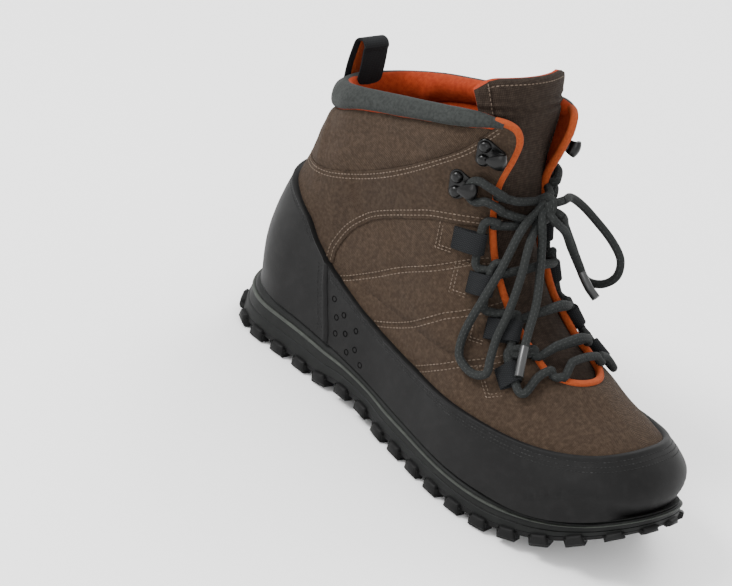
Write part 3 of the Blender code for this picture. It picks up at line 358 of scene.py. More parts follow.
def middle_of_outline() -> float:
    """Middle of the sole's outline across the foot, which is the frame's own middle."""
    x = SOLE_LENGTH * spread(np.linspace(0, 1, 201))
    return float(outline(x, 2, 0, 0, 0).max() - outline(x, 1, 0, 0, 0).max()) / 2


MIDDLE_Y = middle_of_outline()
AT_HEEL = np.array([-SOLE_LENGTH / 2, -MIDDLE_Y, 0.0])
LAST = Last()


@lru_cache(maxsize=1)
def ridge_line() -> np.ndarray:
    """Fine points down the front ridge."""
    return LAST.line(RIDGE, FACING_HEIGHT, LAST.ridge_steps)


@lru_cache(maxsize=1)
def back_line() -> np.ndarray:
    """Fine points down the back of the heel."""
    return LAST.line(BACK, COLLAR_HEIGHT, LAST.back_steps)


class Pattern(Enum):
    """Surface structure of a finish."""

    TWILL = "twill"
    KNIT = "knit"
    RIB = "rib"
    BRAID = "braid"
    GRAIN = "grain"
    PLAIN = "plain"


class Nodes:
    """Short way to fill a node tree."""

    def __init__(self, tree: bpy.types.NodeTree) -> None:
        """Keeps the tree that is filled."""
        self.tree = tree

    def add(self, kind: str, **settings: object) -> bpy.types.Node:
        """Adds a node and sets its properties."""
        made = self.tree.nodes.new(kind)
        for name, value in settings.items():
            setattr(made, name, value)
        return made

    def put(self, socket: bpy.types.NodeSocket, value: object) -> None:
        """Links a socket to another, or sets its value."""
        if isinstance(value, bpy.types.NodeSocket):
            self.tree.links.new(value, socket)
        else:
            socket.default_value = value

    def math(self, operation: str, *values: object) -> bpy.types.NodeSocket:
        """Adds a Math node and returns its result."""
        made = self.add("ShaderNodeMath", operation=operation)
        for socket, value in zip(made.inputs, values):
            self.put(socket, value)
        return made.outputs[0]

    def step(self, value: object, low: float, high: float) -> bpy.types.NodeSocket:
        """Soft step of a value between two limits."""
        made = self.add("ShaderNodeMapRange", interpolation_type="SMOOTHSTEP")
        for name, given in (("Value", value), ("From Min", low), ("From Max", high)):
            self.put(made.inputs[name], given)
        return made.outputs["Result"]

    def noise(self, place: object, size: float, detail: float = 3.0) -> bpy.types.NodeSocket:
        """Noise whose lumps have a size in metres."""
        made = self.add("ShaderNodeTexNoise")
        self.put(made.inputs["Vector"], place)
        made.inputs["Scale"].default_value = 1 / size
        made.inputs["Detail"].default_value = detail
        return made.outputs["Fac"]

    def mix(self, share: object, low: object, high: object) -> bpy.types.NodeSocket:
        """Mixes two colours."""
        made = self.add("ShaderNodeMix", data_type="RGBA")
        self.put(made.inputs["Factor"], share)
        for socket, color in ((made.inputs[6], low), (made.inputs[7], high)):
            self.put(socket, color if isinstance(color, bpy.types.NodeSocket) else (*color, 1.0))
        return made.outputs[2]


@dataclass(frozen=True)
class Finish:
    """A material: its colours, its gloss and the structure of its surface."""

    name: str
    color: tuple[float, float, float]
    accent: tuple[float, float, float]
    roughness: float
    pattern: Pattern
    pitch: float = 0.001
    depth: float = 0.0002
    mottle: float = 0.02
    metallic: float = 0.0
    sheen: float = 0.0
    coat: float = 0.0
    specular: float = 0.5

    def structure(self, nodes: Nodes, place: object, uv: object) -> tuple[object, object]:
        """Height and accent share of the pattern.

        Args:
            nodes: the tree that is filled.
            place: object coordinates in metres.
            uv: coordinates along the piece in metres.

        Returns:
            Two sockets, both from 0 to 1.
        """
        turn = 2 * math.pi / self.pitch
        if self.pattern in (Pattern.GRAIN, Pattern.PLAIN):
            fine = nodes.noise(place, self.pitch, 4.0)
            return fine, nodes.step(nodes.noise(place, self.pitch * 6, 3.0), 0.45, 0.75)
        split = nodes.add("ShaderNodeSeparateXYZ")
        nodes.put(split.inputs[0], uv)
        u, v = split.outputs[0], split.outputs[1]
        if self.pattern is Pattern.RIB:
            across = nodes.math("SINE", nodes.math("MULTIPLY", u, turn))
            weft = nodes.math("SINE", nodes.math("MULTIPLY", v, turn * 0.55))
            height = nodes.math("MULTIPLY_ADD", nodes.math("MULTIPLY", across, weft), 0.5, 0.5)
            return height, nodes.step(height, 0.5, 1.0)
        if self.pattern is Pattern.BRAID:
            around, run = nodes.math("MULTIPLY", u, 4 * math.pi), nodes.math("MULTIPLY", v, turn)
            one = nodes.math("SINE", nodes.math("ADD", around, run))
            two = nodes.math("SINE", nodes.math("SUBTRACT", around, run))
            height = nodes.math("MULTIPLY_ADD", nodes.math("MAXIMUM", one, two), 0.5, 0.5)
            line = nodes.math("SINE", nodes.math("MULTIPLY", u, 8 * math.pi))
            dash = nodes.math("SINE", nodes.math("MULTIPLY_ADD", v, turn * 0.5, around))
            fleck = nodes.math("MULTIPLY", nodes.step(line, 0.80, 0.98), nodes.step(dash, -0.2, 0.5))
            return height, fleck
        slant = nodes.math("MULTIPLY", nodes.math("ADD", u, v), turn)
        cross = nodes.math("MULTIPLY", nodes.math("SUBTRACT", u, v), turn * 0.62)
        threads = nodes.math("MULTIPLY", nodes.math("SINE", slant), nodes.math("COSINE", cross))
        if self.pattern is Pattern.KNIT:
            threads = nodes.math("ABSOLUTE", threads)
        wobble = nodes.math("SUBTRACT", nodes.noise(place, self.pitch * 1.6, 2.0), 0.5)
        height = nodes.math("ADD", nodes.math("MULTIPLY_ADD", threads, 0.35, 0.5), wobble)
        return height, nodes.step(height, 0.35, 0.85)

    def build(self) -> bpy.types.Material:
        """Makes the material.

        Returns:
            A material with a Principled shader fed by the pattern.
        """
        made = bpy.data.materials.new(self.name)
        made.use_nodes = True
        made.diffuse_color = (*self.color, 1.0)
        nodes = Nodes(made.node_tree)
        shader = made.node_tree.nodes["Principled BSDF"]
        coordinates = nodes.add("ShaderNodeTexCoord")
        place, uv = coordinates.outputs["Object"], coordinates.outputs["UV"]
        height, share = self.structure(nodes, place, uv)
        cloud = nodes.noise(place, 0.028, 3.0)
        mottle = nodes.math("MULTIPLY_ADD", nodes.math("SUBTRACT", cloud, 0.5), self.mottle * 8, 1.0)
        color = nodes.mix(share, self.color, self.accent)
        shade = nodes.add("ShaderNodeVectorMath", operation="SCALE")
        nodes.put(shade.inputs[0], color)
        nodes.put(shade.inputs["Scale"], mottle)
        nodes.put(shader.inputs["Base Color"], shade.outputs[0])
        rough = nodes.math("MULTIPLY_ADD", nodes.math("SUBTRACT", cloud, 0.5), 0.25, self.roughness)
        nodes.put(shader.inputs["Roughness"], rough)
        bump = nodes.add("ShaderNodeBump")
        bump.inputs["Strength"].default_value = 0.8
        bump.inputs["Distance"].default_value = self.depth
        nodes.put(bump.inputs["Height"], height)
        nodes.put(shader.inputs["Normal"], bump.outputs[0])
        for name, value in (
            ("Metallic", self.metallic), ("Sheen Weight", self.sheen), ("Coat Weight", self.coat),
            ("Coat Roughness", 0.12), ("Specular IOR Level", self.specular),
        ):
            nodes.put(shader.inputs[name], value)
        return made


class Palette:
    """Every finish of the boot, made once."""

    FINISHES = (
        Finish("upper_weave", (0.0235, 0.0152, 0.0100), (0.0520, 0.0350, 0.0235), 0.92,
               Pattern.TWILL, 0.0013, 0.00034, 0.03, specular=0.12),
        Finish("panel_weave", (0.0212, 0.0138, 0.0091), (0.0465, 0.0315, 0.0212), 0.92,
               Pattern.TWILL, 0.0013, 0.00034, 0.03, specular=0.12),
        Finish("tongue_knit", (0.0150, 0.0102, 0.0076), (0.0330, 0.0240, 0.0180), 0.94,
               Pattern.TWILL, 0.0016, 0.00040, 0.03, specular=0.10),
        Finish("collar_knit", (0.0118, 0.0132, 0.0124), (0.0245, 0.0270, 0.0255), 0.85,
               Pattern.KNIT, 0.0010, 0.00016, 0.03, specular=0.15),
        Finish("lining_mesh", (0.185, 0.020, 0.006), (0.250, 0.034, 0.010), 0.92,
               Pattern.KNIT, 0.0014, 0.00020, 0.02, specular=0.10),
        Finish("orange_binding", (0.185, 0.031, 0.008), (0.240, 0.047, 0.013), 0.85,
               Pattern.KNIT, 0.0009, 0.00012, 0.02, specular=0.12),
        Finish("rand_rubber", (0.0026, 0.0025, 0.0025), (0.0044, 0.0042, 0.0042), 0.62,
               Pattern.GRAIN, 0.0009, 0.00007, 0.04, specular=0.16),
        Finish("sole_rubber", (0.0024, 0.0024, 0.0024), (0.0042, 0.0042, 0.0041), 0.62,
               Pattern.GRAIN, 0.0011, 0.00008, 0.04, specular=0.16),
        Finish("midsole_foam", (0.0042, 0.0046, 0.0043), (0.0062, 0.0067, 0.0062), 0.62,
               Pattern.GRAIN, 0.0012, 0.00005, 0.03, specular=0.16),
        Finish("side_stripe", (0.026, 0.029, 0.025), (0.036, 0.040, 0.034), 0.60,
               Pattern.GRAIN, 0.0010, 0.00004, 0.02, specular=0.2),
        Finish("grey_webbing", (0.0060, 0.0064, 0.0070), (0.0160, 0.0170, 0.0182), 0.88,
               Pattern.RIB, 0.0012, 0.00024, 0.02, specular=0.12),
        Finish("lace_braid", (0.0150, 0.0162, 0.0158), (0.034, 0.036, 0.035), 0.88,
               Pattern.BRAID, 0.0015, 0.00028, 0.01, specular=0.12),
        Finish("aglet_film", (0.0120, 0.0126, 0.0130), (0.022, 0.022, 0.022), 0.36,
               Pattern.PLAIN, 0.0030, 0.00003, 0.01, coat=0.15),
        Finish("black_enamel", (0.0016, 0.0016, 0.0016), (0.0026, 0.0026, 0.0026), 0.30,
               Pattern.PLAIN, 0.0040, 0.00002, 0.01, coat=0.06, specular=0.2),
        Finish("stud_steel", (0.550, 0.550, 0.560), (0.420, 0.420, 0.430), 0.30,
               Pattern.GRAIN, 0.0008, 0.00002, 0.01, metallic=1.0),
        Finish("brown_thread", (0.085, 0.064, 0.048), (0.130, 0.100, 0.078), 0.85,
               Pattern.PLAIN, 0.0006, 0.00005, 0.01, specular=0.12),
        Finish("black_thread", (0.0100, 0.0100, 0.0100), (0.0240, 0.0240, 0.0240), 0.75,
               Pattern.PLAIN, 0.0006, 0.00005, 0.01, specular=0.12),
        # Near-black finish of the drain holes: painted shade in place of the holes' depth.
        Finish("drain_hole_painted_shade", (0.0010, 0.0010, 0.0010), (0.0015, 0.0015, 0.0015), 0.90,
               Pattern.PLAIN, 0.002, 0.00002, 0.01, specular=0.05),
        Finish("footbed_knit", (0.014, 0.0135, 0.0125), (0.028, 0.026, 0.024), 0.92,
               Pattern.KNIT, 0.0014, 0.00020, 0.02, specular=0.10),
    )

    def __init__(self) -> None:
        """Builds all materials."""
        self.made = {finish.name: finish.build() for finish in self.FINISHES}

    def __getitem__(self, name: str) -> bpy.types.Material:
        """A material by its finish's name."""
        return self.made[name]


def placed(name: str, data: bpy.types.ID) -> bpy.types.Object:
    """New object of some data, linked to the scene."""
    made = bpy.data.objects.new(name, data)
    bpy.context.scene.collection.objects.link(made)
    return made


def arc_lengths(points: np.ndarray) -> np.ndarray:
    """Coordinates in metres over a grid of points, from its first row and its middle column."""
    across = np.linalg.norm(np.diff(points, axis=1), axis=2)
    u = np.concatenate((np.zeros((len(points), 1)), np.cumsum(across, axis=1)), axis=1)
    u -= u[:, points.shape[1] // 2][:, None]
    up = np.linalg.norm(np.diff(points, axis=0), axis=2)
    v = np.concatenate((np.zeros((1, points.shape[1])), np.cumsum(up, axis=0)), axis=0)
    return np.stack((u, v), -1)


def grid_faces(rows: int, columns: int, offset: int = 0, wrap: bool = False) -> np.ndarray:
    """Corner indices of the faces of a grid of points."""
    index = np.arange(rows * columns).reshape(rows, columns) + offset
    right = np.roll(index, -1, axis=1) if wrap else index[:, 1:]
    left = index if wrap else index[:, :-1]
    faces = np.stack((left[:-1], right[:-1], right[1:], left[1:]), -1)
    return faces.reshape(-1, 4)


def tube_rings(path: np.ndarray, radius: object, sides: int) -> np.ndarray:
    """Rings round a path, turned as little as possible from one to the next."""
    tangent = np.gradient(path, axis=0)
    tangent /= np.linalg.norm(tangent, axis=1, keepdims=True)
    first = np.cross(tangent[0], (0.0, 0.0, 1.0))
    if np.linalg.norm(first) < 0.2:
        first = np.cross(tangent[0], (0.0, 1.0, 0.0))
    frame = [first / np.linalg.norm(first)]
    for here in tangent[1:]:
        side = frame[-1] - here * frame[-1].dot(here)
        frame.append(side / np.linalg.norm(side))
    frame = np.array(frame)
    other = np.cross(tangent, frame)
    turn = 2 * np.pi * np.arange(sides) / sides
    reach = np.broadcast_to(np.asarray(radius, float), len(path))[:, None, None]
    ring = np.cos(turn)[None, :, None] * frame[:, None] + np.sin(turn)[None, :, None] * other[:, None]
    return path[:, None] + ring * reach


def fold(around: object) -> np.ndarray:
    """Distance from the front ridge in around, the same on both sides."""
    return np.abs(np.mod(np.asarray(around, float) + 1, 2.0) - 1)


AROUND_LENGTH = 0.27
RISE_LENGTH = 0.20
QUARTER_EDGE: Rows = (
    (0.10, 0.680), (0.202, 0.677), (0.274, 0.671), (0.332, 0.663), (0.390, 0.645), (0.472, 0.607),
    (0.526, 0.569), (0.565, 0.520), (0.592, 0.469), (0.617, 0.399), (0.632, 0.335), (0.66, 0.350),
    (0.70, 0.420), (0.79, 0.480), (1.00, 0.520),
)
ANKLE_SEAM: Rows = (
    (0.00, 1.0), (0.212, 1.0), (0.245, 0.964), (0.286, 0.906), (0.351, 0.847), (0.442, 0.781),
    (0.563, 0.712), (0.679, 0.660), (0.740, 0.646), (0.800, 0.640), (0.838, 0.650), (0.860, 0.700),
    (0.872, 0.780), (0.884, 0.866), (1.00, 0.860),
)
STITCH_ROWS: tuple[Rows, ...] = (
    ((0.150, 0.606), (0.232, 0.588), (0.330, 0.545), (0.440, 0.480), (0.530, 0.395), (0.612, 0.300)),
    ((0.170, 0.500), (0.207, 0.486), (0.280, 0.455), (0.351, 0.414), (0.450, 0.320), (0.545, 0.220)),
    ((0.150, 0.402), (0.175, 0.391), (0.250, 0.357), (0.333, 0.309), (0.400, 0.250), (0.458, 0.188)),
)
CREASES: Rows = (
    (0.40, 0.72, 0.030, 0.0060, 35.0, -0.0012), (0.56, 0.60, 0.032, 0.0055, 60.0, -0.0010),
    (0.33, 0.80, 0.022, 0.0050, 50.0, -0.0010), (0.48, 0.86, 0.034, 0.0060, 12.0, -0.0014),
    (0.66, 0.80, 0.028, 0.0060, -30.0, -0.0012), (0.08, 0.25, 0.030, 0.0080, 5.0, -0.0010),
    (0.30, 0.48, 0.034, 0.0050, 20.0, 0.0008), (0.42, 0.40, 0.030, 0.0060, 40.0, 0.0008),
    (0.22, 0.30, 0.026, 0.0080, 25.0, 0.0008), (0.76, 0.74, 0.030, 0.0060, 70.0, 0.0010),
)
ANKLE_PUFF = 0.0030


def relief(around: np.ndarray, rise: np.ndarray) -> np.ndarray:
    """Height of the upper's padding, stitched channels and soft creases over its plain surface."""
    side = fold(around)
    low, high = along(ANKLE_SEAM, 1, side), along(COLLAR_LOW, 1, side)
    share = (rise - low) / np.maximum(high - low, 0.02)
    puff = np.sqrt(np.clip(1 - (2 * share - 1) ** 2, 0, 1))
    total = ANKLE_PUFF * puff * blend(0.24, 0.36, side) * (1 - blend(0.84, 0.87, side))
    for row in STITCH_ROWS:
        gap = (rise - along(row, 1, side)) * RISE_LENGTH
        reach = blend(row[0][0] - 0.03, row[0][0], side) * (1 - blend(row[-1][0], row[-1][0] + 0.03, side))
        total = total - 0.0007 * np.exp(-((gap / 0.0022) ** 2)) * reach
        total = total + 0.0006 * np.exp(-(((gap - 0.012) / 0.007) ** 2)) * reach
    for place, height, length, width, turn, depth in CREASES:
        u, v = (side - place) * AROUND_LENGTH, (rise - height) * RISE_LENGTH
        cos, sin = math.cos(math.radians(turn)), math.sin(math.radians(turn))
        run, off = u * cos + v * sin, v * cos - u * sin
        off = off + 0.10 * run * run / length
        total = total + depth * np.exp(-((run / length) ** 2) - (off / width) ** 2)
    waves = np.sin(23 * side + 31 * rise) + np.sin(41 * side - 17 * rise + 1.0)
    waves = waves + np.sin(67 * rise + 9 * side)
    return total + 0.00012 * waves * blend(0.02, 0.10, rise)


@dataclass
class Form:
    """Closed form as vertices, faces, coordinates in metres and a material slot for each face."""

    points: np.ndarray
    faces: list[list[int]]
    uv: np.ndarray
    slots: list[int]

    def outward(self) -> "Form":
        """Turns the faces so that they point out."""
        fans = [(face[0], face[i], face[i + 1]) for face in self.faces for i in range(1, len(face) - 1)]
        corners = self.points[np.asarray(fans)]
        if np.einsum("ij,ij->", corners[:, 0], np.cross(corners[:, 1], corners[:, 2])) < 0:
            self.faces = [face[::-1] for face in self.faces]
        return self

    @staticmethod
    def slab(outer: np.ndarray, inner: np.ndarray, back_slot: int = 0, rim_slot: int = 0) -> "Form":
        """Closed form between two grids of the same size."""
        rows, columns = outer.shape[:2]
        count = rows * columns
        index = np.arange(count).reshape(rows, columns)
        front, rear = grid_faces(rows, columns), grid_faces(rows, columns, count)[:, ::-1]
        rim = np.concatenate((index[0, ::-1], index[1:, 0], index[-1, 1:], index[-2::-1, -1]))
        rims = np.stack((rim[:-1], rim[1:], rim[1:] + count, rim[:-1] + count), -1)
        uv = arc_lengths(outer).reshape(-1, 2)
        faces = np.concatenate((front, rims, rear)).tolist()
        slots = [0] * len(front) + [rim_slot] * len(rims) + [back_slot] * len(rear)
        points = np.concatenate((outer.reshape(-1, 3), inner.reshape(-1, 3)))
        return Form(points, faces, np.concatenate((uv, uv)), slots).outward()

    @staticmethod
    def sweep(rings: np.ndarray, closed: bool = False, turns: bool = False) -> "Form":
        """Form through rings of points, capped at its ends or closed on itself.

        Args:
            rings: array of rings, each with the same count of points.
            closed: True where the last ring joins the first.
            turns: True where U counts turns round the ring, for a round cord.

        Returns:
            The form.
        """
        count, sides = rings.shape[:2]
        middles = rings.mean(axis=1)
        run = np.concatenate(([0.0], np.cumsum(np.linalg.norm(np.diff(middles, axis=0), axis=1))))
        ring = rings[count // 2]
        edge = np.linalg.norm(np.roll(ring, -1, axis=0) - ring, axis=1)
        around = np.concatenate(([0.0], np.cumsum(edge)[:-1]))
        if turns:
            around = np.abs(np.arange(sides) / sides * 2 - 1)
        uv = np.stack(np.broadcast_arrays(around[None, :], run[:, None]), -1).reshape(-1, 2)
        faces = grid_faces(count, sides, wrap=True).tolist()
        points = rings.reshape(-1, 3)
        if closed:
            last, first = np.arange(sides) + (count - 1) * sides, np.arange(sides)
            faces += np.stack((last, np.roll(last, -1), np.roll(first, -1), first), -1).tolist()
        else:
            points = np.concatenate((points, middles[:1], middles[-1:]))
            uv = np.concatenate((uv, [[0.0, 0.0]], [[0.0, run[-1]]]))
            end, centre = (count - 1) * sides, count * sides
            for i in range(sides):
                j = (i + 1) % sides
                faces.append([j, i, centre])
                faces.append([end + i, end + j, centre + 1])
        return Form(points, faces, uv, [0] * len(faces)).outward()

    @staticmethod
    def join(forms: Sequence["Form"]) -> "Form":
        """Puts several forms into one."""
        points, faces, uv, slots, start = [], [], [], [], 0
        for form in forms:
            points.append(form.points)
            uv.append(form.uv)
            faces += [[corner + start for corner in face] for face in form.faces]
            slots += form.slots
            start += len(form.points)
        return Form(np.concatenate(points), faces, np.concatenate(uv), slots)

    def piece(
        self,
        name: str,
        finishes: Sequence[bpy.types.Material],
        sharp: float = 50.0,
        merge: float = 0.0,
        rides: bool = True,
    ) -> bpy.types.Object:
        """Makes a smooth-shaded object of the form.

        Args:
            name: the object's name.
            finishes: a material for each slot.
            sharp: angle past which an edge stays sharp, in degrees.
            merge: distance at which vertices are merged.
            rides: False for a shape that is only a model for others.

        Returns:
            The object.
        """
        mesh = bpy.data.meshes.new(name)
        mesh.from_pydata(self.points.tolist(), [], self.faces)
        corners = np.empty(len(mesh.loops), int)
        mesh.loops.foreach_get("vertex_index", corners)
        layer = mesh.uv_layers.new(name="UVMap")
        layer.data.foreach_set("uv", self.uv[corners].astype(np.float32).ravel())
        mesh.polygons.foreach_set("material_index", self.slots)
        for finish in finishes:
            mesh.materials.append(finish)
        if merge:
            build = bmesh.new()
            build.from_mesh(mesh)
            bmesh.ops.remove_doubles(build, verts=build.verts, dist=merge)
            build.to_mesh(mesh)
            build.free()
        mesh.shade_smooth()
        mesh.set_sharp_from_angle(angle=math.radians(sharp))
        made = placed(name, mesh)
        if rides:
            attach(made, BODY)
        LOG.info("%s: %d faces", name, len(mesh.polygons))
        return made


class Layout(Enum):
    """How a repeated shape is placed: along a path at a pitch, or once on each point."""

    ROW = "row"
    PLACES = "places"


class Repeater:
    """Geometry Nodes tree that repeats a shape, with its inputs by name."""

    def __init__(self, layout: Layout) -> None:
        """Builds the tree for a layout."""
        self.layout = layout
        self.tree = bpy.data.node_groups.new(f"repeat_{layout.value}", "GeometryNodeTree")
        for name, way, kind in (
            ("Geometry", "INPUT", "Geometry"), ("Shape", "INPUT", "Object"), ("Pitch", "INPUT", "Float"),
            ("Finish", "INPUT", "Material"), ("Geometry", "OUTPUT", "Geometry"),
        ):
            self.tree.interface.new_socket(name, in_out=way, socket_type=f"NodeSocket{kind}")
        nodes = Nodes(self.tree)
        given, result = nodes.add("NodeGroupInput"), nodes.add("NodeGroupOutput")
        places, direction = given.outputs["Geometry"], self.attribute(nodes, "direction")
        if layout is Layout.ROW:
            curve = nodes.add("GeometryNodeMeshToCurve")
            nodes.put(curve.inputs["Mesh"], places)
            even = nodes.add("GeometryNodeResampleCurve", mode="LENGTH")
            nodes.put(even.inputs["Curve"], curve.outputs["Curve"])
            nodes.put(even.inputs["Length"], given.outputs["Pitch"])
            places = even.outputs["Curve"]
            direction = nodes.add("GeometryNodeInputTangent").outputs["Tangent"]
        run = nodes.add("FunctionNodeAlignRotationToVector", axis="X")
        nodes.put(run.inputs["Vector"], direction)
        stand = nodes.add("FunctionNodeAlignRotationToVector", axis="Z", pivot_axis="X")
        nodes.put(stand.inputs["Rotation"], run.outputs["Rotation"])
        nodes.put(stand.inputs["Vector"], self.attribute(nodes, "out"))
        shape = nodes.add("GeometryNodeObjectInfo", transform_space="ORIGINAL")
        nodes.put(shape.inputs["Object"], given.outputs["Shape"])
        copies = nodes.add("GeometryNodeInstanceOnPoints")
        nodes.put(copies.inputs["Points"], places)
        nodes.put(copies.inputs["Instance"], shape.outputs["Geometry"])
        nodes.put(copies.inputs["Rotation"], stand.outputs["Rotation"])
        if layout is Layout.PLACES:
            nodes.put(copies.inputs["Scale"], self.attribute(nodes, "size"))
        real = nodes.add("GeometryNodeRealizeInstances")
        nodes.put(real.inputs["Geometry"], copies.outputs["Instances"])
        dress = nodes.add("GeometryNodeSetMaterial")
        nodes.put(dress.inputs["Geometry"], real.outputs["Geometry"])
        nodes.put(dress.inputs["Material"], given.outputs["Finish"])
        nodes.put(result.inputs["Geometry"], dress.outputs["Geometry"])

    @staticmethod
    def attribute(nodes: Nodes, name: str) -> bpy.types.NodeSocket:
        """Reads a vector that each point carries."""
        made = nodes.add("GeometryNodeInputNamedAttribute", data_type="FLOAT_VECTOR")
        made.inputs["Name"].default_value = name
        return made.outputs["Attribute"]

    def repeat(
        self,
        name: str,
        shape: Form,
        paths: Sequence[dict[str, np.ndarray]],
        finish: bpy.types.Material,
        pitch: float = 0.0026,
    ) -> bpy.types.Object:
        """Repeats a shape and returns the result as a plain mesh.

        Args:
            name: the new object's name.
            shape: what is repeated.
            paths: points with an out vector each, and with a direction and size where they are places.
            finish: the material.
            pitch: distance between two copies in a row.

        Returns:
            The object that holds every copy.
        """
        model = shape.piece(name + "_model", [finish], rides=False)
        points = np.concatenate([path["points"] for path in paths])
        edges, start = [], 0
        for path in paths:
            count = len(path["points"])
            if self.layout is Layout.ROW:
                edges += [(start + i, start + i + 1) for i in range(count - 1)]
            start += count
        mesh = bpy.data.meshes.new(name + "_places")
        mesh.from_pydata(points.tolist(), edges, [])
        for key in paths[0]:
            if key != "points":
                values = np.concatenate([path[key] for path in paths]).astype(np.float32)
                mesh.attributes.new(key, "FLOAT_VECTOR", "POINT").data.foreach_set("vector", values.ravel())
        host = placed(name + "_places", mesh)
        modifier = host.modifiers.new("repeat", "NODES")
        modifier.node_group = self.tree
        values = {"Shape": model, "Pitch": pitch, "Finish": finish}
        for item in self.tree.interface.items_tree:
            if item.name in values:
                modifier[item.identifier] = values[item.name]
        graph = bpy.context.evaluated_depsgraph_get()
        result = bpy.data.meshes.new_from_object(host.evaluated_get(graph), depsgraph=graph)
        for spare in (host, model):
            bpy.data.objects.remove(spare, do_unlink=True)
        result.name = name
        made = placed(name, result)
        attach(made, BODY)
        LOG.info("%s: %d faces", name, len(result.polygons))
        return made


def lathe(profile: Sequence[tuple[float, float]], sides: int) -> Form:
    """Round form from rows of radius and height."""
    turn = 2 * np.pi * np.arange(sides) / sides
    rings = [np.stack((r * np.cos(turn), r * np.sin(turn), np.full(sides, z)), -1) for r, z in profile]
    return Form.sweep(np.array(rings))


def moved(form: Form, origin: np.ndarray, axes: np.ndarray) -> Form:
    """Puts a form from its own axes to a place on the boot."""
    return Form(origin + form.points @ axes, form.faces, form.uv, form.slots).outward()


def offset_line(around: np.ndarray, rise: np.ndarray, distance: float) -> tuple[np.ndarray, np.ndarray]:
    """Moves a line on the upper sideways by a distance in metres, to its left."""
    u, v = around * AROUND_LENGTH, rise * RISE_LENGTH
    du, dv = np.gradient(u), np.gradient(v)
    length = np.hypot(du, dv)
    return (u - dv / length * distance) / AROUND_LENGTH, (v + du / length * distance) / RISE_LENGTH


def seam_path(around: np.ndarray, rise: np.ndarray, height: object) -> dict[str, np.ndarray]:
    """Path on the upper at a height over its relief, for a row of stitches."""
    lift = relief(around, rise) + height
    return {"points": LAST.lifted(around, rise, lift), "out": LAST.normal(around, rise)}


def opened(place: np.ndarray, rise: np.ndarray) -> np.ndarray:
    """Around value of a column, drawn back to the throat's edge near the front."""
    outer = LAST.throat_edge(rise, False) * (1 - place) ** 2
    inner = LAST.throat_edge(rise, True) * (place - 1) ** 2
    return np.where(rise <= THROAT_START, place, np.where(place <= 1, place + outer, place - inner))


def panel_rise(around: np.ndarray, share: np.ndarray) -> np.ndarray:
    """Rise on the ankle panel, from its lower to its upper edge."""
    side = fold(around)
    low, high = along(QUARTER_EDGE, 1, side), np.minimum(along(ANKLE_SEAM, 1, side), 1.0)
    return low + (high - low) * share


@dataclass
class Upper:
    """Woven shell with its lining, the panel over the ankle and their stitching."""

    palette: Palette
    columns: int = 330
    throat_rows: int = 18
    panel: float = 0.0010
    stitch_gap: float = 0.0026
    wall: float = 0.002

    def shell(self) -> None:
        """Hollow shell, closed over the toe and open at throat, collar and underneath."""
        rises = np.concatenate((
            np.linspace(0, THROAT_START, 44),
            THROAT_START + THROAT_ROUND * np.linspace(0, 1, self.throat_rows)[1:] ** 2,
            np.linspace(THROAT_START + THROAT_ROUND, 1, 84)[1:],
        ))
        places, rise = np.meshgrid(np.linspace(0, 2, self.columns + 1), rises)
        around = opened(places, rise)
        height = relief(around, rise)
        outer = LAST.lifted(around, rise, height)
        inner = LAST.lifted(around, rise, np.minimum(height, 0.0) - self.wall)
        rows, columns = rise.shape
        count = rows * columns
        index = np.arange(count).reshape(rows, columns)
        open_row = int(np.searchsorted(rises, THROAT_START))
        faces = grid_faces(rows, columns).tolist()
        slots = [0] * len(faces)
        for rim in (index[0, ::-1], index[-1], index[open_row:, 0], index[open_row:, -1][::-1]):
            faces += np.stack((rim[:-1], rim[1:], rim[1:] + count, rim[:-1] + count), -1)[:, ::-1].tolist()
        slots += [0] * (len(faces) - len(slots))
        rear = grid_faces(rows, columns, count)[:, ::-1].tolist()
        uv = arc_lengths(outer).reshape(-1, 2)
        points = np.concatenate((outer.reshape(-1, 3), inner.reshape(-1, 3)))
        form = Form(points, faces + rear, np.concatenate((uv, uv)), slots + [1] * len(rear)).outward()
        finishes = [self.palette["upper_weave"], self.palette["lining_mesh"]]
        made = form.piece("woven_shell", finishes, merge=1e-6)
        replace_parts(made, "upper")

    def ankle_panel(self) -> None:
        """Panel from the facing over the ankle round the heel, laid over the quarter."""
        places, share = np.meshgrid(np.linspace(0, 2, 421), spread(np.linspace(0, 1, 44)))
        rise = np.full_like(places, 0.8)
        for _ in range(5):
            around = opened(places, rise)
            rise = panel_rise(around, share)
        edge = rounding(np.minimum(share, 1 - share) * 0.045, 0.0010)
        base = relief(around, rise)
        outer = LAST.lifted(around, rise, base + self.panel * (0.25 + 0.75 * edge))
        inner = LAST.lifted(around, rise, base - 0.0004)
        made = Form.slab(outer, inner).piece("ankle_panel", [self.palette["panel_weave"]])

    def stitching(self, row: Repeater) -> None:
        """Sews the quarter's three double rows and both edges of the panel."""
        paths = []
        for table in STITCH_ROWS:
            line = smooth_path(table, 90)
            for distance in (-self.stitch_gap / 2, self.stitch_gap / 2):
                around, rise = offset_line(line[:, 0], line[:, 1], distance)
                paths += [seam_path(around, rise, 0.0001), seam_path(-around, rise, 0.0001)]
        for table, first, last, distances in (
            (QUARTER_EDGE, 0.125, 0.628, (0.0020, 0.0046)), (ANKLE_SEAM, 0.236, 0.90, (-0.0022, -0.0050)),
        ):
            around = np.linspace(first, last, 260)
            rise = along(table, 1, around)
            for distance in distances:
                a, r = offset_line(around, rise, distance)
                r = np.minimum(r, 0.995)
                paths += [seam_path(a, r, self.panel), seam_path(-a, r, self.panel)]
        thread = Thread("brown_thread", "upper_fabric", 0.00095, 0.0026, 0.00030, 0.00036)
        thread.sew(row, self.palette, "brown_stitches", paths)


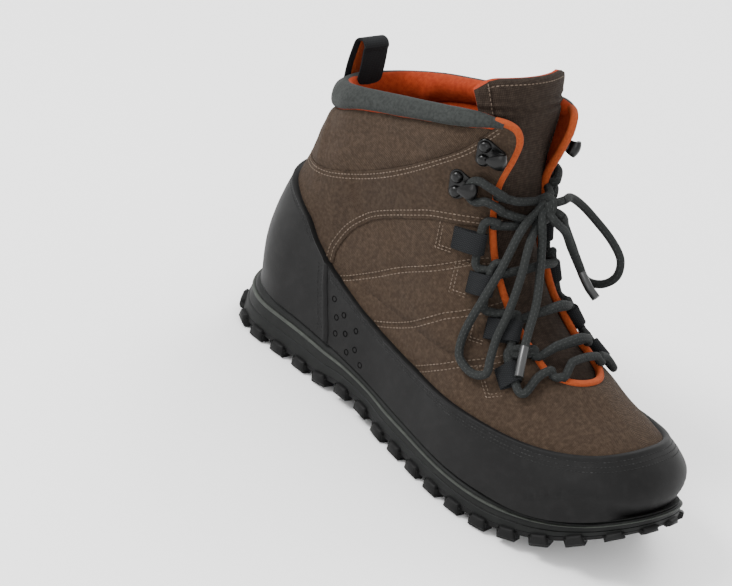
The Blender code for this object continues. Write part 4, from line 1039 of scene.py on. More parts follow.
@dataclass(frozen=True)
class Thread:
    """Thread of a seam: finish and slot, half a stitch, pitch, radii of a stitch."""

    finish: str
    slot: str
    half: float
    pitch: float
    shoulder: float
    middle: float
    tip: float = 0.00010
    flatness: float = 0.8

    def stitch(self) -> Form:
        """One stitch, lying along X."""
        ends = ((self.tip, -1.0), (self.shoulder, -0.6))
        profile = (*ends, (self.middle, 0.0), (self.shoulder, 0.6), (self.tip, 1.0))
        form = lathe(profile, 6)
        x, y, z = form.points.T
        points = np.stack((z * self.half, x, y * self.flatness), -1)
        return Form(points, form.faces, form.uv, form.slots).outward()

    def sew(
        self, row: Repeater, palette: Palette, name: str, paths: Sequence[dict[str, np.ndarray]]
    ) -> None:
        """Repeats the stitch along paths."""
        made = row.repeat(name, self.stitch(), paths, palette[self.finish], self.pitch)


@dataclass
class Rubber:
    """Rand round the foot and counter round the heel, with lips, stitches and drain holes."""

    palette: Palette
    rand: float = 0.0027
    counter: float = 0.0037
    lip: float = 0.0006
    seam: float = 0.650

    HOLES: Rows = (
        (0.635, 0.194), (0.618, 0.155), (0.636, 0.122), (0.638, 0.060), (0.618, 0.088),
        (0.594, 0.132), (0.597, 0.063), (0.611, 0.030), (0.582, 0.030),
    )
    HOLE_RIM: Rows = (
        (0.0019, -0.0006), (0.0019, 0.0), (0.0017, 0.00022), (0.0014, 0.00018), (0.0012, -0.0001),
        (0.0004, -0.0002),
    )

    @staticmethod
    def top(around: object) -> np.ndarray:
        """Top edge of rand and counter."""
        return along(RAND_TOP, 1, fold(around))

    def height(self, around: np.ndarray, rise: np.ndarray, thickness: float) -> np.ndarray:
        """Outer face over the upper, with a rounded, slightly raised top edge."""
        below = (self.top(around) - rise) * RISE_LENGTH
        body = thickness * (0.30 + 0.70 * rounding(below, 0.0016))
        return body + self.lip * np.exp(-(((below - 0.0016) / 0.0010) ** 2))

    def grids(self, around: np.ndarray, rise: np.ndarray, thickness: float, front: object) -> Form:
        """Form of one rubber piece from its places on the upper."""
        lift = self.height(around, rise, thickness) * front
        outer = LAST.lifted(around, rise, lift + 0.25 * relief(around, rise))
        outer[..., 2] = np.maximum(outer[..., 2], LAST.feather(outer[..., 0] + SOLE_LENGTH / 2) - 0.0005)
        return Form.slab(outer, LAST.lifted(around, rise, np.full_like(rise, -0.0006)))

    def build(self, row: Repeater, places: Repeater) -> None:
        """Makes rand, counter, their stitches and the drain holes."""
        rubber = [self.palette["rand_rubber"]]
        share = np.concatenate((np.linspace(0, 0.80, 18), 0.80 + 0.20 * spread(np.linspace(0, 1, 16))[1:]))
        column, level = np.meshgrid(np.linspace(-1, 1, 401), share)
        around = column * self.seam
        for _ in range(4):
            rise = self.top(around) * level
            reach = along(COUNTER_SEAM, 1, np.minimum(rise, 0.33)) + 0.004
            around = column * reach
        made = self.grids(around, rise, self.rand, 1.0).piece("rubber_rand", rubber)
        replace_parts(made, "rand")
        column, level = np.meshgrid(spread(np.linspace(0, 1, 201)), share)
        around = self.seam + (2 - 2 * self.seam) * column
        for _ in range(4):
            rise = self.top(around) * level
            reach = along(COUNTER_SEAM, 1, np.minimum(rise, 0.33))
            around = reach + (2 - 2 * reach) * column
        from_seam = np.minimum(around - reach, 2 - reach - around) * AROUND_LENGTH
        bead = 0.10 * np.exp(-(((from_seam - 0.0018) / 0.0010) ** 2))
        front = 0.72 + 0.28 * rounding(from_seam, 0.0014) + bead
        made = self.grids(around, rise, self.counter, front).piece("heel_cup", rubber)
        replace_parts(made, "heel_counter")
        self.stitching(row)
        self.drain_holes(places)

    def seam_on(self, around: np.ndarray, rise: np.ndarray, thickness: float) -> dict[str, np.ndarray]:
        """Path on the rubber's outer face, for a row of stitches."""
        lift = self.height(around, rise, thickness) + 0.25 * relief(around, rise)
        return {"points": LAST.lifted(around, rise, lift), "out": LAST.normal(around, rise)}

    def stitching(self, row: Repeater) -> None:
        """Sews three rows under the rand's edge, two under the counter's and two along its seam."""
        paths = []
        for reach, below, thickness in (
            ((-0.645, 0.645), (0.0034, 0.0054, 0.0074), self.rand),
            ((0.665, 1.335), (0.0034, 0.0056), self.counter),
        ):
            around = np.linspace(*reach, 420)
            for drop in below:
                paths.append(self.seam_on(*offset_line(around, self.top(around), -drop), thickness))
        rise = np.linspace(0.03, 0.31, 80)
        for behind in (0.0034, 0.0056):
            around = along(COUNTER_SEAM, 1, rise) + behind / AROUND_LENGTH
            paths += [self.seam_on(side, rise, self.counter) for side in (around, -around)]
        thread = Thread("black_thread", "rand_rubber", 0.00080, 0.0022, 0.00028, 0.00032)
        thread.sew(row, self.palette, "black_stitches", paths)

    def drain_holes(self, places: Repeater) -> None:
        """Sets a rimmed disc at each drain in the rand, near-black all over as painted shade of the hole."""
        table = np.asarray(self.HOLES)
        around = np.concatenate((table[:, 0], -table[:, 0]))
        rise = np.concatenate((table[:, 1], table[:, 1]))
        out = LAST.normal(around, rise)
        spots = {
            "points": LAST.lifted(around, rise, self.height(around, rise, self.rand)), "out": out,
            "direction": np.cross(out, (0.0, 0.0, 1.0)), "size": np.ones_like(out),
        }
        rim = lathe(self.HOLE_RIM, 16)
        # The dark disc is painted shade where each drain hole goes in.
        made = places.repeat("drain_holes", rim, [spots], self.palette["drain_hole_painted_shade"])


@dataclass
class Collar:
    """Padded roll round the top of the shaft, grey outside and lined in orange inside."""

    palette: Palette
    bulge: float = 0.0050
    inside: float = 0.0065
    front: float = 0.215

    # share of the band from its low edge to the top, distance past the top edge, outward height
    SECTION: Rows = (
        (0.00, 0.0, 0.10), (0.06, 0.0, 0.52), (0.20, 0.0, 0.84), (0.40, 0.0, 1.00), (0.62, 0.0, 1.00),
        (0.82, 0.0, 0.86), (0.96, 0.0, 0.62), (1.00, 0.0014, 0.28), (1.00, 0.0020, -0.10),
        (1.00, 0.0014, -0.52), (0.93, 0.0, -0.92), (0.75, 0.0, -1.16), (0.45, 0.0, -1.22),
        (0.15, 0.0, -1.05), (-0.15, 0.0, -0.72), (-0.35, 0.0, -0.40), (-0.30, 0.0, -0.05),
    )

    def build(self) -> None:
        """Makes the roll."""
        count = 260
        around = np.linspace(self.front, 2 - self.front, count)
        side = fold(around)
        low = np.minimum(along(COLLAR_LOW, 1, side), 0.985)
        fade = 0.25 + 0.75 * blend(self.front, self.front + 0.10, side)
        up = LAST.surface(around, np.ones(count)) - LAST.surface(around, np.full(count, 0.97))
        up /= np.linalg.norm(up, axis=1, keepdims=True)
        ripple = 1 + 0.05 * np.sin(38 * side) + 0.04 * np.sin(71 * side + 1.3)
        rings = []
        fine = smooth_path(self.SECTION, 34)
        for share, past, height in fine:
            rise = np.clip(low + (1 - low) * share, 0.0, 1.0)
            reach = self.bulge if height > 0 else self.inside
            spot = LAST.lifted(around, rise, height * reach * fade * ripple) + up * (past * fade)[:, None]
            rings.append(spot)
        rings = np.array(rings).transpose(1, 0, 2)
        form = Form.sweep(rings)
        sides = len(fine)
        orange = int(sides * 0.52)
        walls = (count - 1) * sides
        form.slots = [int(i < walls and i % sides >= orange) for i in range(len(form.faces))]
        made = form.piece("padded_collar", [self.palette["collar_knit"], self.palette["lining_mesh"]])
        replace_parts(made, "collar")


@dataclass
class Tongue:
    """Padded tongue, brown weave in front and orange lining behind."""

    palette: Palette
    start: float = 0.300
    reach: float = 0.36
    half: float = 0.036
    crown: float = 0.40
    lean: float = 0.006
    fit: float = 0.0010
    thickness: float = 0.0055
    free: tuple[float, float] = (0.56, 0.80)

    def face(self, share: np.ndarray, rise: np.ndarray) -> np.ndarray:
        """Front face. Share runs -1 to 1 across, and rise goes on past 1 above the facings."""
        inside = np.minimum(rise, 1.0)
        reach = self.reach * blend(-0.6, 0.8, inside)
        under = np.full_like(rise, -UPPER_WALL - self.fit)
        vamp = LAST.lifted(-share * reach, np.minimum(inside, 0.97), under)
        base = float(LAST.feather(RIDGE[0][1] * SOLE_LENGTH))
        above = np.maximum(rise - 1.0, 0.0)
        x = along(TONGUE_LINE, 1, inside) * SOLE_LENGTH - above * self.lean
        z = base + along(TONGUE_LINE, 2, inside) * (FACING_HEIGHT - base)
        z = z + above * (TONGUE_HEIGHT - FACING_HEIGHT)
        half = self.half * (0.90 + 0.15 * above)
        back = self.crown * half * share * share
        x, z = x - back, z - 0.3 * back
        outer, inner = LAST.half_widths(x, np.minimum(z, FACING_HEIGHT))
        room = np.where(share < 0, outer, inner) - UPPER_WALL - self.fit
        room = room + np.maximum(z - FACING_HEIGHT, 0.0)
        y = np.sign(share) * np.minimum(half * np.abs(share), room)
        own = np.stack((x - SOLE_LENGTH / 2, y - MIDDLE_Y, z), -1)
        mix = blend(*self.free, rise)[..., None]
        return vamp * (1 - mix) + own * mix

    def grids(self) -> tuple[np.ndarray, np.ndarray]:
        """Front and back faces with padding, rounded top corners and rolled edges."""
        levels = np.concatenate((np.linspace(self.start, 1.0, 90), np.linspace(1.0, 2.0, 40)[1:]))
        share, rise = np.meshgrid(np.linspace(-1, 1, 81), levels)
        corner = 1 - 0.30 * np.clip((np.abs(share) - 0.62) / 0.38, 0, 1) ** 2.2
        rise = np.where(rise > 1, 1 + (rise - 1) * corner, rise)
        front = self.face(share, rise)
        across = np.gradient(front, axis=1)
        up = np.gradient(front, axis=0)
        out = np.cross(up, across)
        out /= np.linalg.norm(out, axis=-1, keepdims=True)
        out *= np.sign(out[..., 0:1] + 1e-9)
        edge = rounding(1 - np.abs(share), 0.16) * rounding(levels[-1] - rise, 0.30)
        thick = self.thickness * (0.30 + 0.70 * edge)
        seam = np.exp(-(((np.abs(share) - 0.80) / 0.025) ** 2))
        puff = 0.0012 * edge * blend(0.62, 0.75, rise) - 0.0010 * seam * blend(0.62, 0.75, rise)
        wrinkle = 0.0006 * np.sin(26 * rise + 2.0 * share) * blend(0.62, 0.72, rise)
        wrinkle = wrinkle * (1 - blend(1.2, 1.6, rise))
        middle = front - out * (self.thickness / 2)
        face = middle + out * (thick / 2 + puff + wrinkle)[..., None]
        return face, middle - out * (thick / 2)[..., None]

    def build(self, row: Repeater) -> None:
        """Makes the padded sheet and the seams at its edges."""
        face, back = self.grids()
        made = Form.slab(face, back, back_slot=1, rim_slot=1).piece(
            "padded_tongue", [self.palette["tongue_knit"], self.palette["lining_mesh"]]
        )
        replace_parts(made, "tongue")
        out = face - back
        out /= np.linalg.norm(out, axis=-1, keepdims=True)
        first, last, top = 7, 73, 122
        seams = [(slice(50, 126), first), (slice(50, 126), last), (top, slice(first, last + 1))]
        paths = [{"points": face[seam] + out[seam] * 0.0001, "out": out[seam]} for seam in seams]
        thread = Thread("brown_thread", "tongue_fabric", 0.00095, 0.0026, 0.00028, 0.00034)
        thread.sew(row, self.palette, "tongue_stitches", paths)


@dataclass
class Binding:
    """Orange band over the edge of throat and facings."""

    palette: Palette
    top_end: float = 0.245

    # distance from the edge into the upper, height off it
    SECTION: Rows = (
        (-0.0010, -0.0008), (-0.0009, 0.0003), (-0.0003, 0.0010), (0.0008, 0.0013), (0.0020, 0.0013),
        (0.0028, 0.0011), (0.0031, 0.0006), (0.0031, -0.0020), (0.0027, -0.0028), (0.0012, -0.0032),
        (-0.0004, -0.0024),
    )

    def line(self) -> tuple[np.ndarray, np.ndarray]:
        """Around and rise of the edge, from the outer top corner round the throat to the inner one."""
        low = THROAT_START + THROAT_ROUND * np.linspace(0.004, 1, 26) ** 2
        rise = np.concatenate((low, np.linspace(THROAT_START + THROAT_ROUND, 1, 80)[1:]))
        outer, inner = LAST.throat_edge(rise, False), LAST.throat_edge(rise, True)
        top_outer, top_inner = (np.linspace(edge[-1], self.top_end, 14)[1:] for edge in (outer, inner))
        around = np.concatenate((top_outer[::-1], outer[::-1], -inner, -top_inner))
        flat = np.ones(13)
        return around, np.concatenate((flat, rise[::-1], rise, flat))

    def build(self, row: Repeater) -> None:
        """Makes the band and the small stitches along its inner edge."""
        around, rise = self.line()
        path = LAST.surface(around, rise)
        steps = np.linalg.norm(np.diff(path, axis=0), axis=1)
        run = np.concatenate(([0.0], np.cumsum(np.maximum(steps, 1e-7))))
        even = np.linspace(0, run[-1], 300)
        a, r = np.interp(even, run, around), np.interp(even, run, rise)
        for _ in range(3):
            a[1:-1] = (a[:-2] + 2 * a[1:-1] + a[2:]) / 4
            r[1:-1] = (r[:-2] + 2 * r[1:-1] + r[2:]) / 4
        path, out = LAST.surface(a, r), LAST.normal(a, r)
        for _ in range(6):
            out[1:-1] = (out[:-2] + 2 * out[1:-1] + out[2:]) / 4
        out /= np.linalg.norm(out, axis=1, keepdims=True)
        along_path = np.gradient(path, axis=0)
        inward = np.cross(along_path, out)
        inward /= np.linalg.norm(inward, axis=1, keepdims=True)
        middle = len(path) // 2
        if inward[middle, 0] < 0:
            inward = -inward
        section = smooth_path(self.SECTION + self.SECTION[:1], 19)[:-1]
        lift = relief(a, r)[:, None, None] * out[:, None]
        rings = section_rings(path, inward[:, None], out, section)
        made = Form.sweep(rings + lift).piece("throat_binding", [self.palette["orange_binding"]])
        spots = path + inward * 0.0022 + out * 0.0013 + lift[:, 0]
        thread = Thread("orange_binding", "upper_fabric", 0.0008, 0.0024, 0.00022, 0.00026)
        thread.sew(row, self.palette, "binding_stitches", [{"points": spots, "out": out}])


@dataclass(frozen=True)
class LoopPlace:
    """Places of a lace loop on the upper: where it is sewn on and where it holds the lace."""

    anchor: float
    low: float
    eye: float
    high: float

    def ends(self, inner: bool) -> tuple[np.ndarray, np.ndarray, float]:
        """Around and rise of anchor and eye, and the length between them."""
        sign = -1 if inner else 1
        anchor, eye = np.array([sign * self.anchor, self.low]), np.array([sign * self.eye, self.high])
        return anchor, eye, float(np.linalg.norm(LAST.surface(*anchor) - LAST.surface(*eye)))

    def at(self, inner: bool, x: object, z: object) -> np.ndarray:
        """Point at a distance from the anchor towards the eye and a height off the upper."""
        anchor, eye, length = self.ends(inner)
        share = np.asarray(x, float)[..., None] / length
        place = anchor + (eye - anchor) * share
        return LAST.lifted(place[..., 0], place[..., 1], np.asarray(z, float) + TRIM_FIT)

    def across(self, inner: bool) -> np.ndarray:
        """Direction across the strap, upwards on the boot."""
        anchor, eye, _ = self.ends(inner)
        forward = LAST.surface(*eye) - LAST.surface(*anchor)
        out = LAST.normal(*((anchor + eye) / 2))
        side = np.cross(out, forward)
        side /= np.linalg.norm(side)
        return side * np.sign(side[2])

    def bore(self, inner: bool) -> np.ndarray:
        """Middle of the place where the lace runs through."""
        _, _, length = self.ends(inner)
        radius = LACE_DIAMETER / 2 + FIT
        return self.at(inner, length - radius - WEBBING_THICKNESS, WEBBING_THICKNESS + radius)


LOOPS = (
    LoopPlace(0.247, 0.313, 0.193, 0.342), LoopPlace(0.233, 0.435, 0.147, 0.435),
    LoopPlace(0.249, 0.539, 0.178, 0.539), LoopPlace(0.273, 0.640, 0.179, 0.640),
)


def section_rings(path: np.ndarray, across: np.ndarray, out: np.ndarray, section: np.ndarray) -> np.ndarray:
    """Rings of a section along a path, given as distances across it and out of it."""
    sideways, height = section[:, 0][None, :, None], section[:, 1][None, :, None]
    return path[:, None] + across * sideways + out[:, None] * height


def strap(path: np.ndarray, out: np.ndarray, across: np.ndarray, width: float, thickness: float) -> Form:
    """Webbing along a path, with rounded edges."""
    half, t = width / 2, thickness / 2
    low = [(-half, -t * 0.5), (-half + t, -t), (-half / 3, -t)]
    low += [(half / 3, -t), (half - t, -t), (half, -t * 0.5)]
    section = np.array(low + [(-x, -z) for x, z in low])
    return Form.sweep(section_rings(path, across, out, section))


@dataclass
class LaceLoops:
    """Eight webbing loops, each folded round the lace and sewn on by a stitched box."""

    palette: Palette

    @staticmethod
    def folded(place: LoopPlace, inner: bool) -> np.ndarray:
        """Middle line of a strap, from its anchor round the lace and back."""
        half = WEBBING_THICKNESS / 2
        radius = LACE_DIAMETER / 2 + FIT + half
        eye, middle = place.ends(inner)[2] - radius - half, half + radius
        turn = np.linspace(-np.pi / 2, np.pi / 2, 18)
        low_x, top_x = np.linspace(-0.001, eye, 10)[:-1], np.linspace(eye, 0.0, 12)[1:]
        drop = (middle + radius) - (radius * 1.35) * blend(0.0, 1.0, 1 - top_x / eye)
        x = np.concatenate((low_x, eye + radius * np.cos(turn), top_x))
        z = np.concatenate((np.full(len(low_x), half), middle + radius * np.sin(turn), drop))
        return place.at(inner, x, z)

    @staticmethod
    def box(place: LoopPlace, inner: bool) -> list[dict[str, np.ndarray]]:
        """Both lines of the stitched box that holds a strap."""
        across, out = place.across(inner), LAST.normal(*place.ends(inner)[0])
        back = np.array([-0.0015, -0.0075, -0.0075, -0.0015])
        up = np.array([0.0075, 0.0075, -0.0075, -0.0075])
        lines = []
        for grow in (0.0, 0.0018):
            ahead = back - grow * np.array([0, 1, 1, 0])
            corners = place.at(inner, ahead, np.zeros(4) - TRIM_FIT + 0.0003)
            corners = corners + across * (up + np.sign(up) * grow)[:, None]
            line = np.concatenate([np.linspace(corners[i], corners[i + 1], 8) for i in range(3)])
            lines.append({"points": line, "out": np.repeat(out[None], len(line), axis=0)})
        return lines

    def build(self, row: Repeater) -> None:
        """Makes the loops and their stitched boxes."""
        paths = []
        for number, place in enumerate(LOOPS, start=1):
            for inner in (False, True):
                side = "inner" if inner else "outer"
                path, across = self.folded(place, inner), place.across(inner)
                out = np.cross(across, np.gradient(path, axis=0))
                out /= np.linalg.norm(out, axis=1, keepdims=True)
                band = strap(path, out, across, WEBBING_WIDTH, WEBBING_THICKNESS)
                made = band.piece(f"webbing_{side}_{number}", [self.palette["grey_webbing"]])
                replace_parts(made, f"lace_loop_{side}_{number}")
                paths += self.box(place, inner)
        thread = Thread("brown_thread", "upper_fabric", 0.0008, 0.0022, 0.00028, 0.00034)
        thread.sew(row, self.palette, "loop_stitches", paths)


@dataclass
class Hooks:
    """Four lace hooks: a rounded plate with two riveted heads and a cupped arm."""

    palette: Palette

    PLACES: Rows = ((0.775, 0.262), (0.890, 0.225))
    LOBES: Rows = ((-0.0034, 0.0043, 0.0044), (-0.0034, -0.0043, 0.0044), (0.0050, 0.0, 0.0038))
    # path of the arm (forwards, outwards), its half width and its cup
    ARM: Rows = (
        (0.0005, 0.0016, 0.0030, 0.0), (0.0050, 0.0016, 0.0034, 0.0002), (0.0082, 0.0026, 0.0040, 0.0006),
        (0.0096, 0.0050, 0.0046, 0.0010), (0.0086, 0.0074, 0.0048, 0.0013),
        (0.0056, 0.0086, 0.0044, 0.0014), (0.0020, 0.0086, 0.0030, 0.0010),
        (-0.0004, 0.0080, 0.0014, 0.0004),
    )
    RIVET: Rows = (
        (0.0034, 0.0012), (0.0035, 0.0019), (0.0034, 0.0025), (0.0029, 0.0033), (0.0020, 0.0039),
        (0.0010, 0.0042),
    )

    def plate(self) -> Form:
        """Plate round the three lobes, with a bevelled edge."""
        lobes = np.asarray(self.LOBES)
        rings = []
        for shrink, z in ((0.0, 0.0), (0.0, 0.0009), (0.0003, 0.0013), (0.0010, 0.0014)):
            turn = np.linspace(0, 2 * np.pi, 48, endpoint=False)
            facing = np.stack((np.cos(turn), np.sin(turn)), -1)
            best = (facing @ lobes[:, :2].T + lobes[:, 2]).argmax(1)
            spots = lobes[best, :2] + facing * (lobes[best, 2] - shrink)[:, None]
            rings.append(np.column_stack((spots, np.full(48, z))))
        return Form.sweep(np.array(rings))

    def arm(self) -> Form:
        """Cupped arm that turns back over the plate."""
        spine = smooth_path(self.ARM, 34)
        run = np.gradient(spine[:, :2], axis=0)
        run /= np.linalg.norm(run, axis=1, keepdims=True)
        side = np.stack((run[:, 1], -run[:, 0]), -1)
        rings = []
        for (x, z, half, cup), (nx, nz) in zip(spine, side):
            ring = []
            for face in (0.0006, -0.0006):
                shares = np.linspace(-1, 1, 9) * (1 if face > 0 else -1)
                for share in shares:
                    lift = face - cup * (share * share)
                    ring.append((x + nx * lift, share * half, z + nz * lift))
            rings.append(ring)
        return Form.sweep(np.array(rings))

    def axes(self, around: float, rise: float) -> np.ndarray:
        """Forward, across and out directions of a place on the upper."""
        out = LAST.normal(around, rise)
        forward = LAST.surface(around - math.copysign(0.01, around), rise) - LAST.surface(around, rise)
        forward = forward - out * forward.dot(out)
        forward /= np.linalg.norm(forward)
        return np.stack((forward, np.cross(out, forward), out))

    def build(self) -> None:
        """Makes the hooks."""
        plate, arm, rivet = self.plate(), self.arm(), lathe(self.RIVET, 24)
        for number, (rise, around) in enumerate(self.PLACES, start=1):
            for inner in (False, True):
                side = "inner" if inner else "outer"
                place = -around if inner else around
                origin = LAST.lifted(place, rise, float(relief(np.array(place), np.array(rise))) + 0.0008)
                axes = self.axes(place, rise)
                forms = [moved(plate, origin, axes), moved(arm, origin, axes)]
                for x, y, _ in reversed(self.LOBES[:2]):
                    forms.append(moved(rivet, origin + axes[0] * x + axes[1] * y, axes))
                made = Form.join(forms).piece(f"hook_{side}_{number}", [self.palette["black_enamel"]], 40)
                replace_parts(made, f"lace_hook_{side}_{number}")


@dataclass
class PullLoop:
    """Webbing loop at the back of the collar, with an orange stripe inside."""

    palette: Palette
    leg: float = 0.0052
    rise: float = 0.0245
    width: float = 0.0195
    thickness: float = 0.0014

    def build(self) -> None:
        """Makes the loop and the stripe."""
        x, z = (float(value) for value in LAST.profile(BACK, COLLAR_HEIGHT, np.array(1.0)))
        turn = np.linspace(0, np.pi, 22)
        side = np.linspace(-0.010, self.rise - self.leg, 14)
        lean = 0.0012 * np.sin(np.pi * np.linspace(0, 1, 14))
        bend = self.leg * 0.85 * np.cos(turn)[1:-1]
        px = np.concatenate((self.leg * 0.75 + lean, bend, -self.leg * 0.85 - lean[::-1]))
        pz = np.concatenate((side, side[-1] + self.leg * 0.9 * np.sin(turn)[1:-1], side[::-1]))
        path = np.column_stack((px + x + 0.001 - SOLE_LENGTH / 2, np.full(len(px), -MIDDLE_Y), pz + z))
        across = np.array([0.0, 1.0, 0.0])
        out = np.cross(np.gradient(path, axis=0), across)
        out /= np.linalg.norm(out, axis=1, keepdims=True)
        band = strap(path, out, across, self.width, self.thickness)
        made = band.piece("webbing_pull", [self.palette["grey_webbing"]])
        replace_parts(made, "pull_loop")
        if out[len(out) // 2, 2] > 0:
            out = -out
        inner = strap(path + out * 0.0009, out, across, 0.0110, 0.0007)
        made = inner.piece("pull_stripe", [self.palette["orange_binding"]])


@dataclass
class Sole:
    """Outsole with its tread, and midsole with its stripe."""

    palette: Palette
    lug: float = 0.0045
    plate: float = 0.0035
    pitch: float = 0.019
    stations: int = 150
    chevron: float = 0.019

    DISHES: Rows = (
        (0.080, -0.155), (0.080, 0.155), (0.140, 0.000), (0.200, -0.155), (0.200, 0.155), (0.530, -0.220),
        (0.535, 0.110), (0.610, -0.060), (0.665, -0.270), (0.675, 0.210), (0.745, -0.030), (0.815, -0.235),
        (0.825, 0.230),
    )
    PADS: Rows = (
        (0.080, 0.000), (0.140, -0.195), (0.140, 0.195), (0.200, 0.000), (0.570, 0.250), (0.600, -0.280),
        (0.740, -0.240), (0.750, 0.200), (0.880, 0.130), (0.880, -0.120),
    )
    CHEVRONS: Rows = (
        (0.255, -0.13, 0), (0.255, 0.13, 0), (0.330, 0.000, 180), (0.420, 0.000, 180),
        (0.480, -0.05, 180), (0.545, -0.060, 180), (0.610, 0.110, 180), (0.675, 0.040, 180),
        (0.675, -0.130, 180), (0.810, 0.000, 180),
    )
    # share of the plate's height, insets at side, heel and toe
    PLATE_EDGE: Rows = (
        (0.0, 0.0016, 0.0016, 0.0016), (0.10, 0.0010, 0.0010, 0.0010), (0.90, 0.0008, 0.0008, 0.0008),
        (1.0, 0.0012, 0.0012, 0.0012),
    )
    # share of the midsole's height, how far the stripe stands out
    STRIPE: Rows = (
        (0.600, -0.0010), (0.605, 0.0006), (0.632, 0.0010), (0.668, 0.0010), (0.695, 0.0006),
        (0.700, -0.0010),
    )
    # radius and height of a round pad and of a stud's dish
    PAD: Rows = ((0.0022, 0.0009), (0.0026, 0.0), (0.0058, 0.0), (0.0065, 0.0008), (0.0067, 0.0056))
    DISH: Rows = (
        (0.0046, 0.0026), (0.0052, 0.0026), (0.0056, 0.0034), (0.0066, 0.0034), (0.0070, 0.0022),
        (0.0090, 0.0022), (0.0095, 0.0030), (0.0097, 0.0056),
    )

    def bottom(self, x: np.ndarray) -> np.ndarray:
        """Underside of the plate between the lugs."""
        return LAST.ground(x) + self.lug * (1 - 0.6 * blend(0.90, 1.0, x / SOLE_LENGTH))

    def top(self, x: np.ndarray) -> np.ndarray:
        """Upper face of the plate."""
        return self.bottom(x) + self.plate * (1 - 0.4 * blend(0.85, 1.0, x / SOLE_LENGTH))

    def ring(
        self, inset: tuple[float, float, float], height: Callable[[np.ndarray], np.ndarray]
    ) -> np.ndarray:
        """Ring round a sole layer, outer side first, from its insets at side, heel and toe."""
        side, heel, toe = inset
        x = heel + (SOLE_LENGTH - heel - toe) * spread(np.arange(self.stations + 1) / self.stations)
        outer, inner = -outline(x, 1, *inset), outline(x, 2, *inset)
        points = np.concatenate((np.stack((x, outer), -1), np.stack((x, inner), -1)[-2:0:-1]))
        x, y = points.T
        return np.column_stack((x - SOLE_LENGTH / 2, y - MIDDLE_Y, height(x)))

    def layer(
        self, name: str, sections: Rows, low: Callable, high: Callable, finish: str
    ) -> bpy.types.Object:
        """Closed layer through sections of share of height, side, heel and toe inset."""
        rings = []
        for share, side, heel, toe in sections:
            rings.append(self.ring((side, heel, toe), lambda x: low(x) + (high(x) - low(x)) * share))
        rings = np.array(rings)
        count = rings.shape[1]
        half = count // 2
        form = Form.sweep(rings)
        keep = len(form.faces) - 2 * count
        form.faces = form.faces[:keep]
        for start in (0, (len(rings) - 1) * count):
            outer = [start + i for i in range(half + 1)]
            inner = [start] + [start + count - i for i in range(1, half)] + [start + half]
            for i in range(half):
                face = list(dict.fromkeys([outer[i], outer[i + 1], inner[i + 1], inner[i]]))
                form.faces.append(face if start else face[::-1])
        form.slots = [0] * len(form.faces)
        build = form.piece(name, [self.palette[finish]], 38)
        mesh = bmesh.new()
        mesh.from_mesh(build.data)
        bmesh.ops.recalc_face_normals(mesh, faces=mesh.faces)
        mesh.to_mesh(build.data)
        mesh.free()
        return build

    @staticmethod
    def flare(share: float) -> tuple[float, float]:
        """Insets of the midsole's side and heel at a share of its height."""
        side = 0.0008 + 0.0010 * share + 0.0010 * share ** 3
        return side, 0.0010 + 0.0040 * share + 0.0022 * share ** 3

    def midsole(self) -> None:
        """Foam wedge with a groove under the upper, a flared side and a pale stripe round it."""
        low, high = lambda x: self.top(x) + 0.0001, lambda x: LAST.feather(x) - 0.0001
        sections = []
        for share in np.concatenate(([0.0], np.linspace(0.03, 0.97, 30), [1.0])):
            groove = 0.0011 * math.exp(-(((share - 0.88) / 0.05) ** 2))
            groove = groove + 0.0006 * math.exp(-(((share - 0.30) / 0.02) ** 2))
            side, heel = self.flare(share)
            sections.append((share, side + groove, heel + groove, side + groove))
        made = self.layer("foam_midsole", tuple(sections), low, high, "midsole_foam")
        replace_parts(made, "midsole")
        rings = []
        for share, stand in self.STRIPE:
            side, heel = self.flare(share)
            inset = (side - stand, heel - stand, side - stand)
            rings.append(self.ring(inset, lambda x: low(x) + (high(x) - low(x)) * share))
        band = Form.sweep(np.array(rings).transpose(1, 0, 2), closed=True)
        made = band.piece("side_stripe", [self.palette["side_stripe"]], 40)

    def perimeter(self, count: int, offset: float) -> dict[str, np.ndarray]:
        """Even places round the outline with their directions."""
        ring = self.ring((0.0, 0.0, 0.0), LAST.ground)
        ring = np.concatenate((ring, ring[:1]))
        run = np.concatenate(([0.0], np.cumsum(np.linalg.norm(np.diff(ring[:, :2], axis=0), axis=1))))
        at = (np.arange(count) + offset) / count * run[-1]
        spots = np.column_stack([np.interp(at, run, ring[:, i]) for i in range(3)])
        ahead, behind = (
            np.column_stack([np.interp((at + step) % run[-1], run, ring[:, i]) for i in range(3)])
            for step in (0.004, -0.004)
        )
        direction = ahead - behind
        direction /= np.linalg.norm(direction, axis=1, keepdims=True)
        sideways = np.cross((0.0, 0.0, 1.0), direction)
        out = np.cross(direction, sideways)
        toe = blend(0.90, 1.0, spots[:, 0] / SOLE_LENGTH + 0.5)
        size = np.column_stack((np.ones(count), np.ones(count), 1 - 0.45 * toe))
        return {"points": spots, "direction": direction, "out": out, "size": size}

    def lug_form(self, reach: float) -> Form:
        """Edge lug: a bevelled block that steps up the side of the sole."""
        long, deep, tall, chamfer = self.pitch * 0.31, reach, self.lug + 0.0016, 0.0009
        rings = []
        for z, grow in ((0.0, -chamfer), (chamfer, 0.0), (tall * 0.8, 0.0), (tall, 0.0003)):
            corners = [
                (-long - grow, -0.0002 - grow), (long * 0.9 + grow, -0.0002 - grow),
                (long + grow, deep * 0.55), (long * 0.55 + grow, deep + grow),
                (-long * 0.5 - grow, deep * 0.82 + grow),
                (-long - grow, deep * 0.6),
            ]
            rings.append([(x, y, z) for x, y in corners])
        return Form.sweep(np.array(rings))

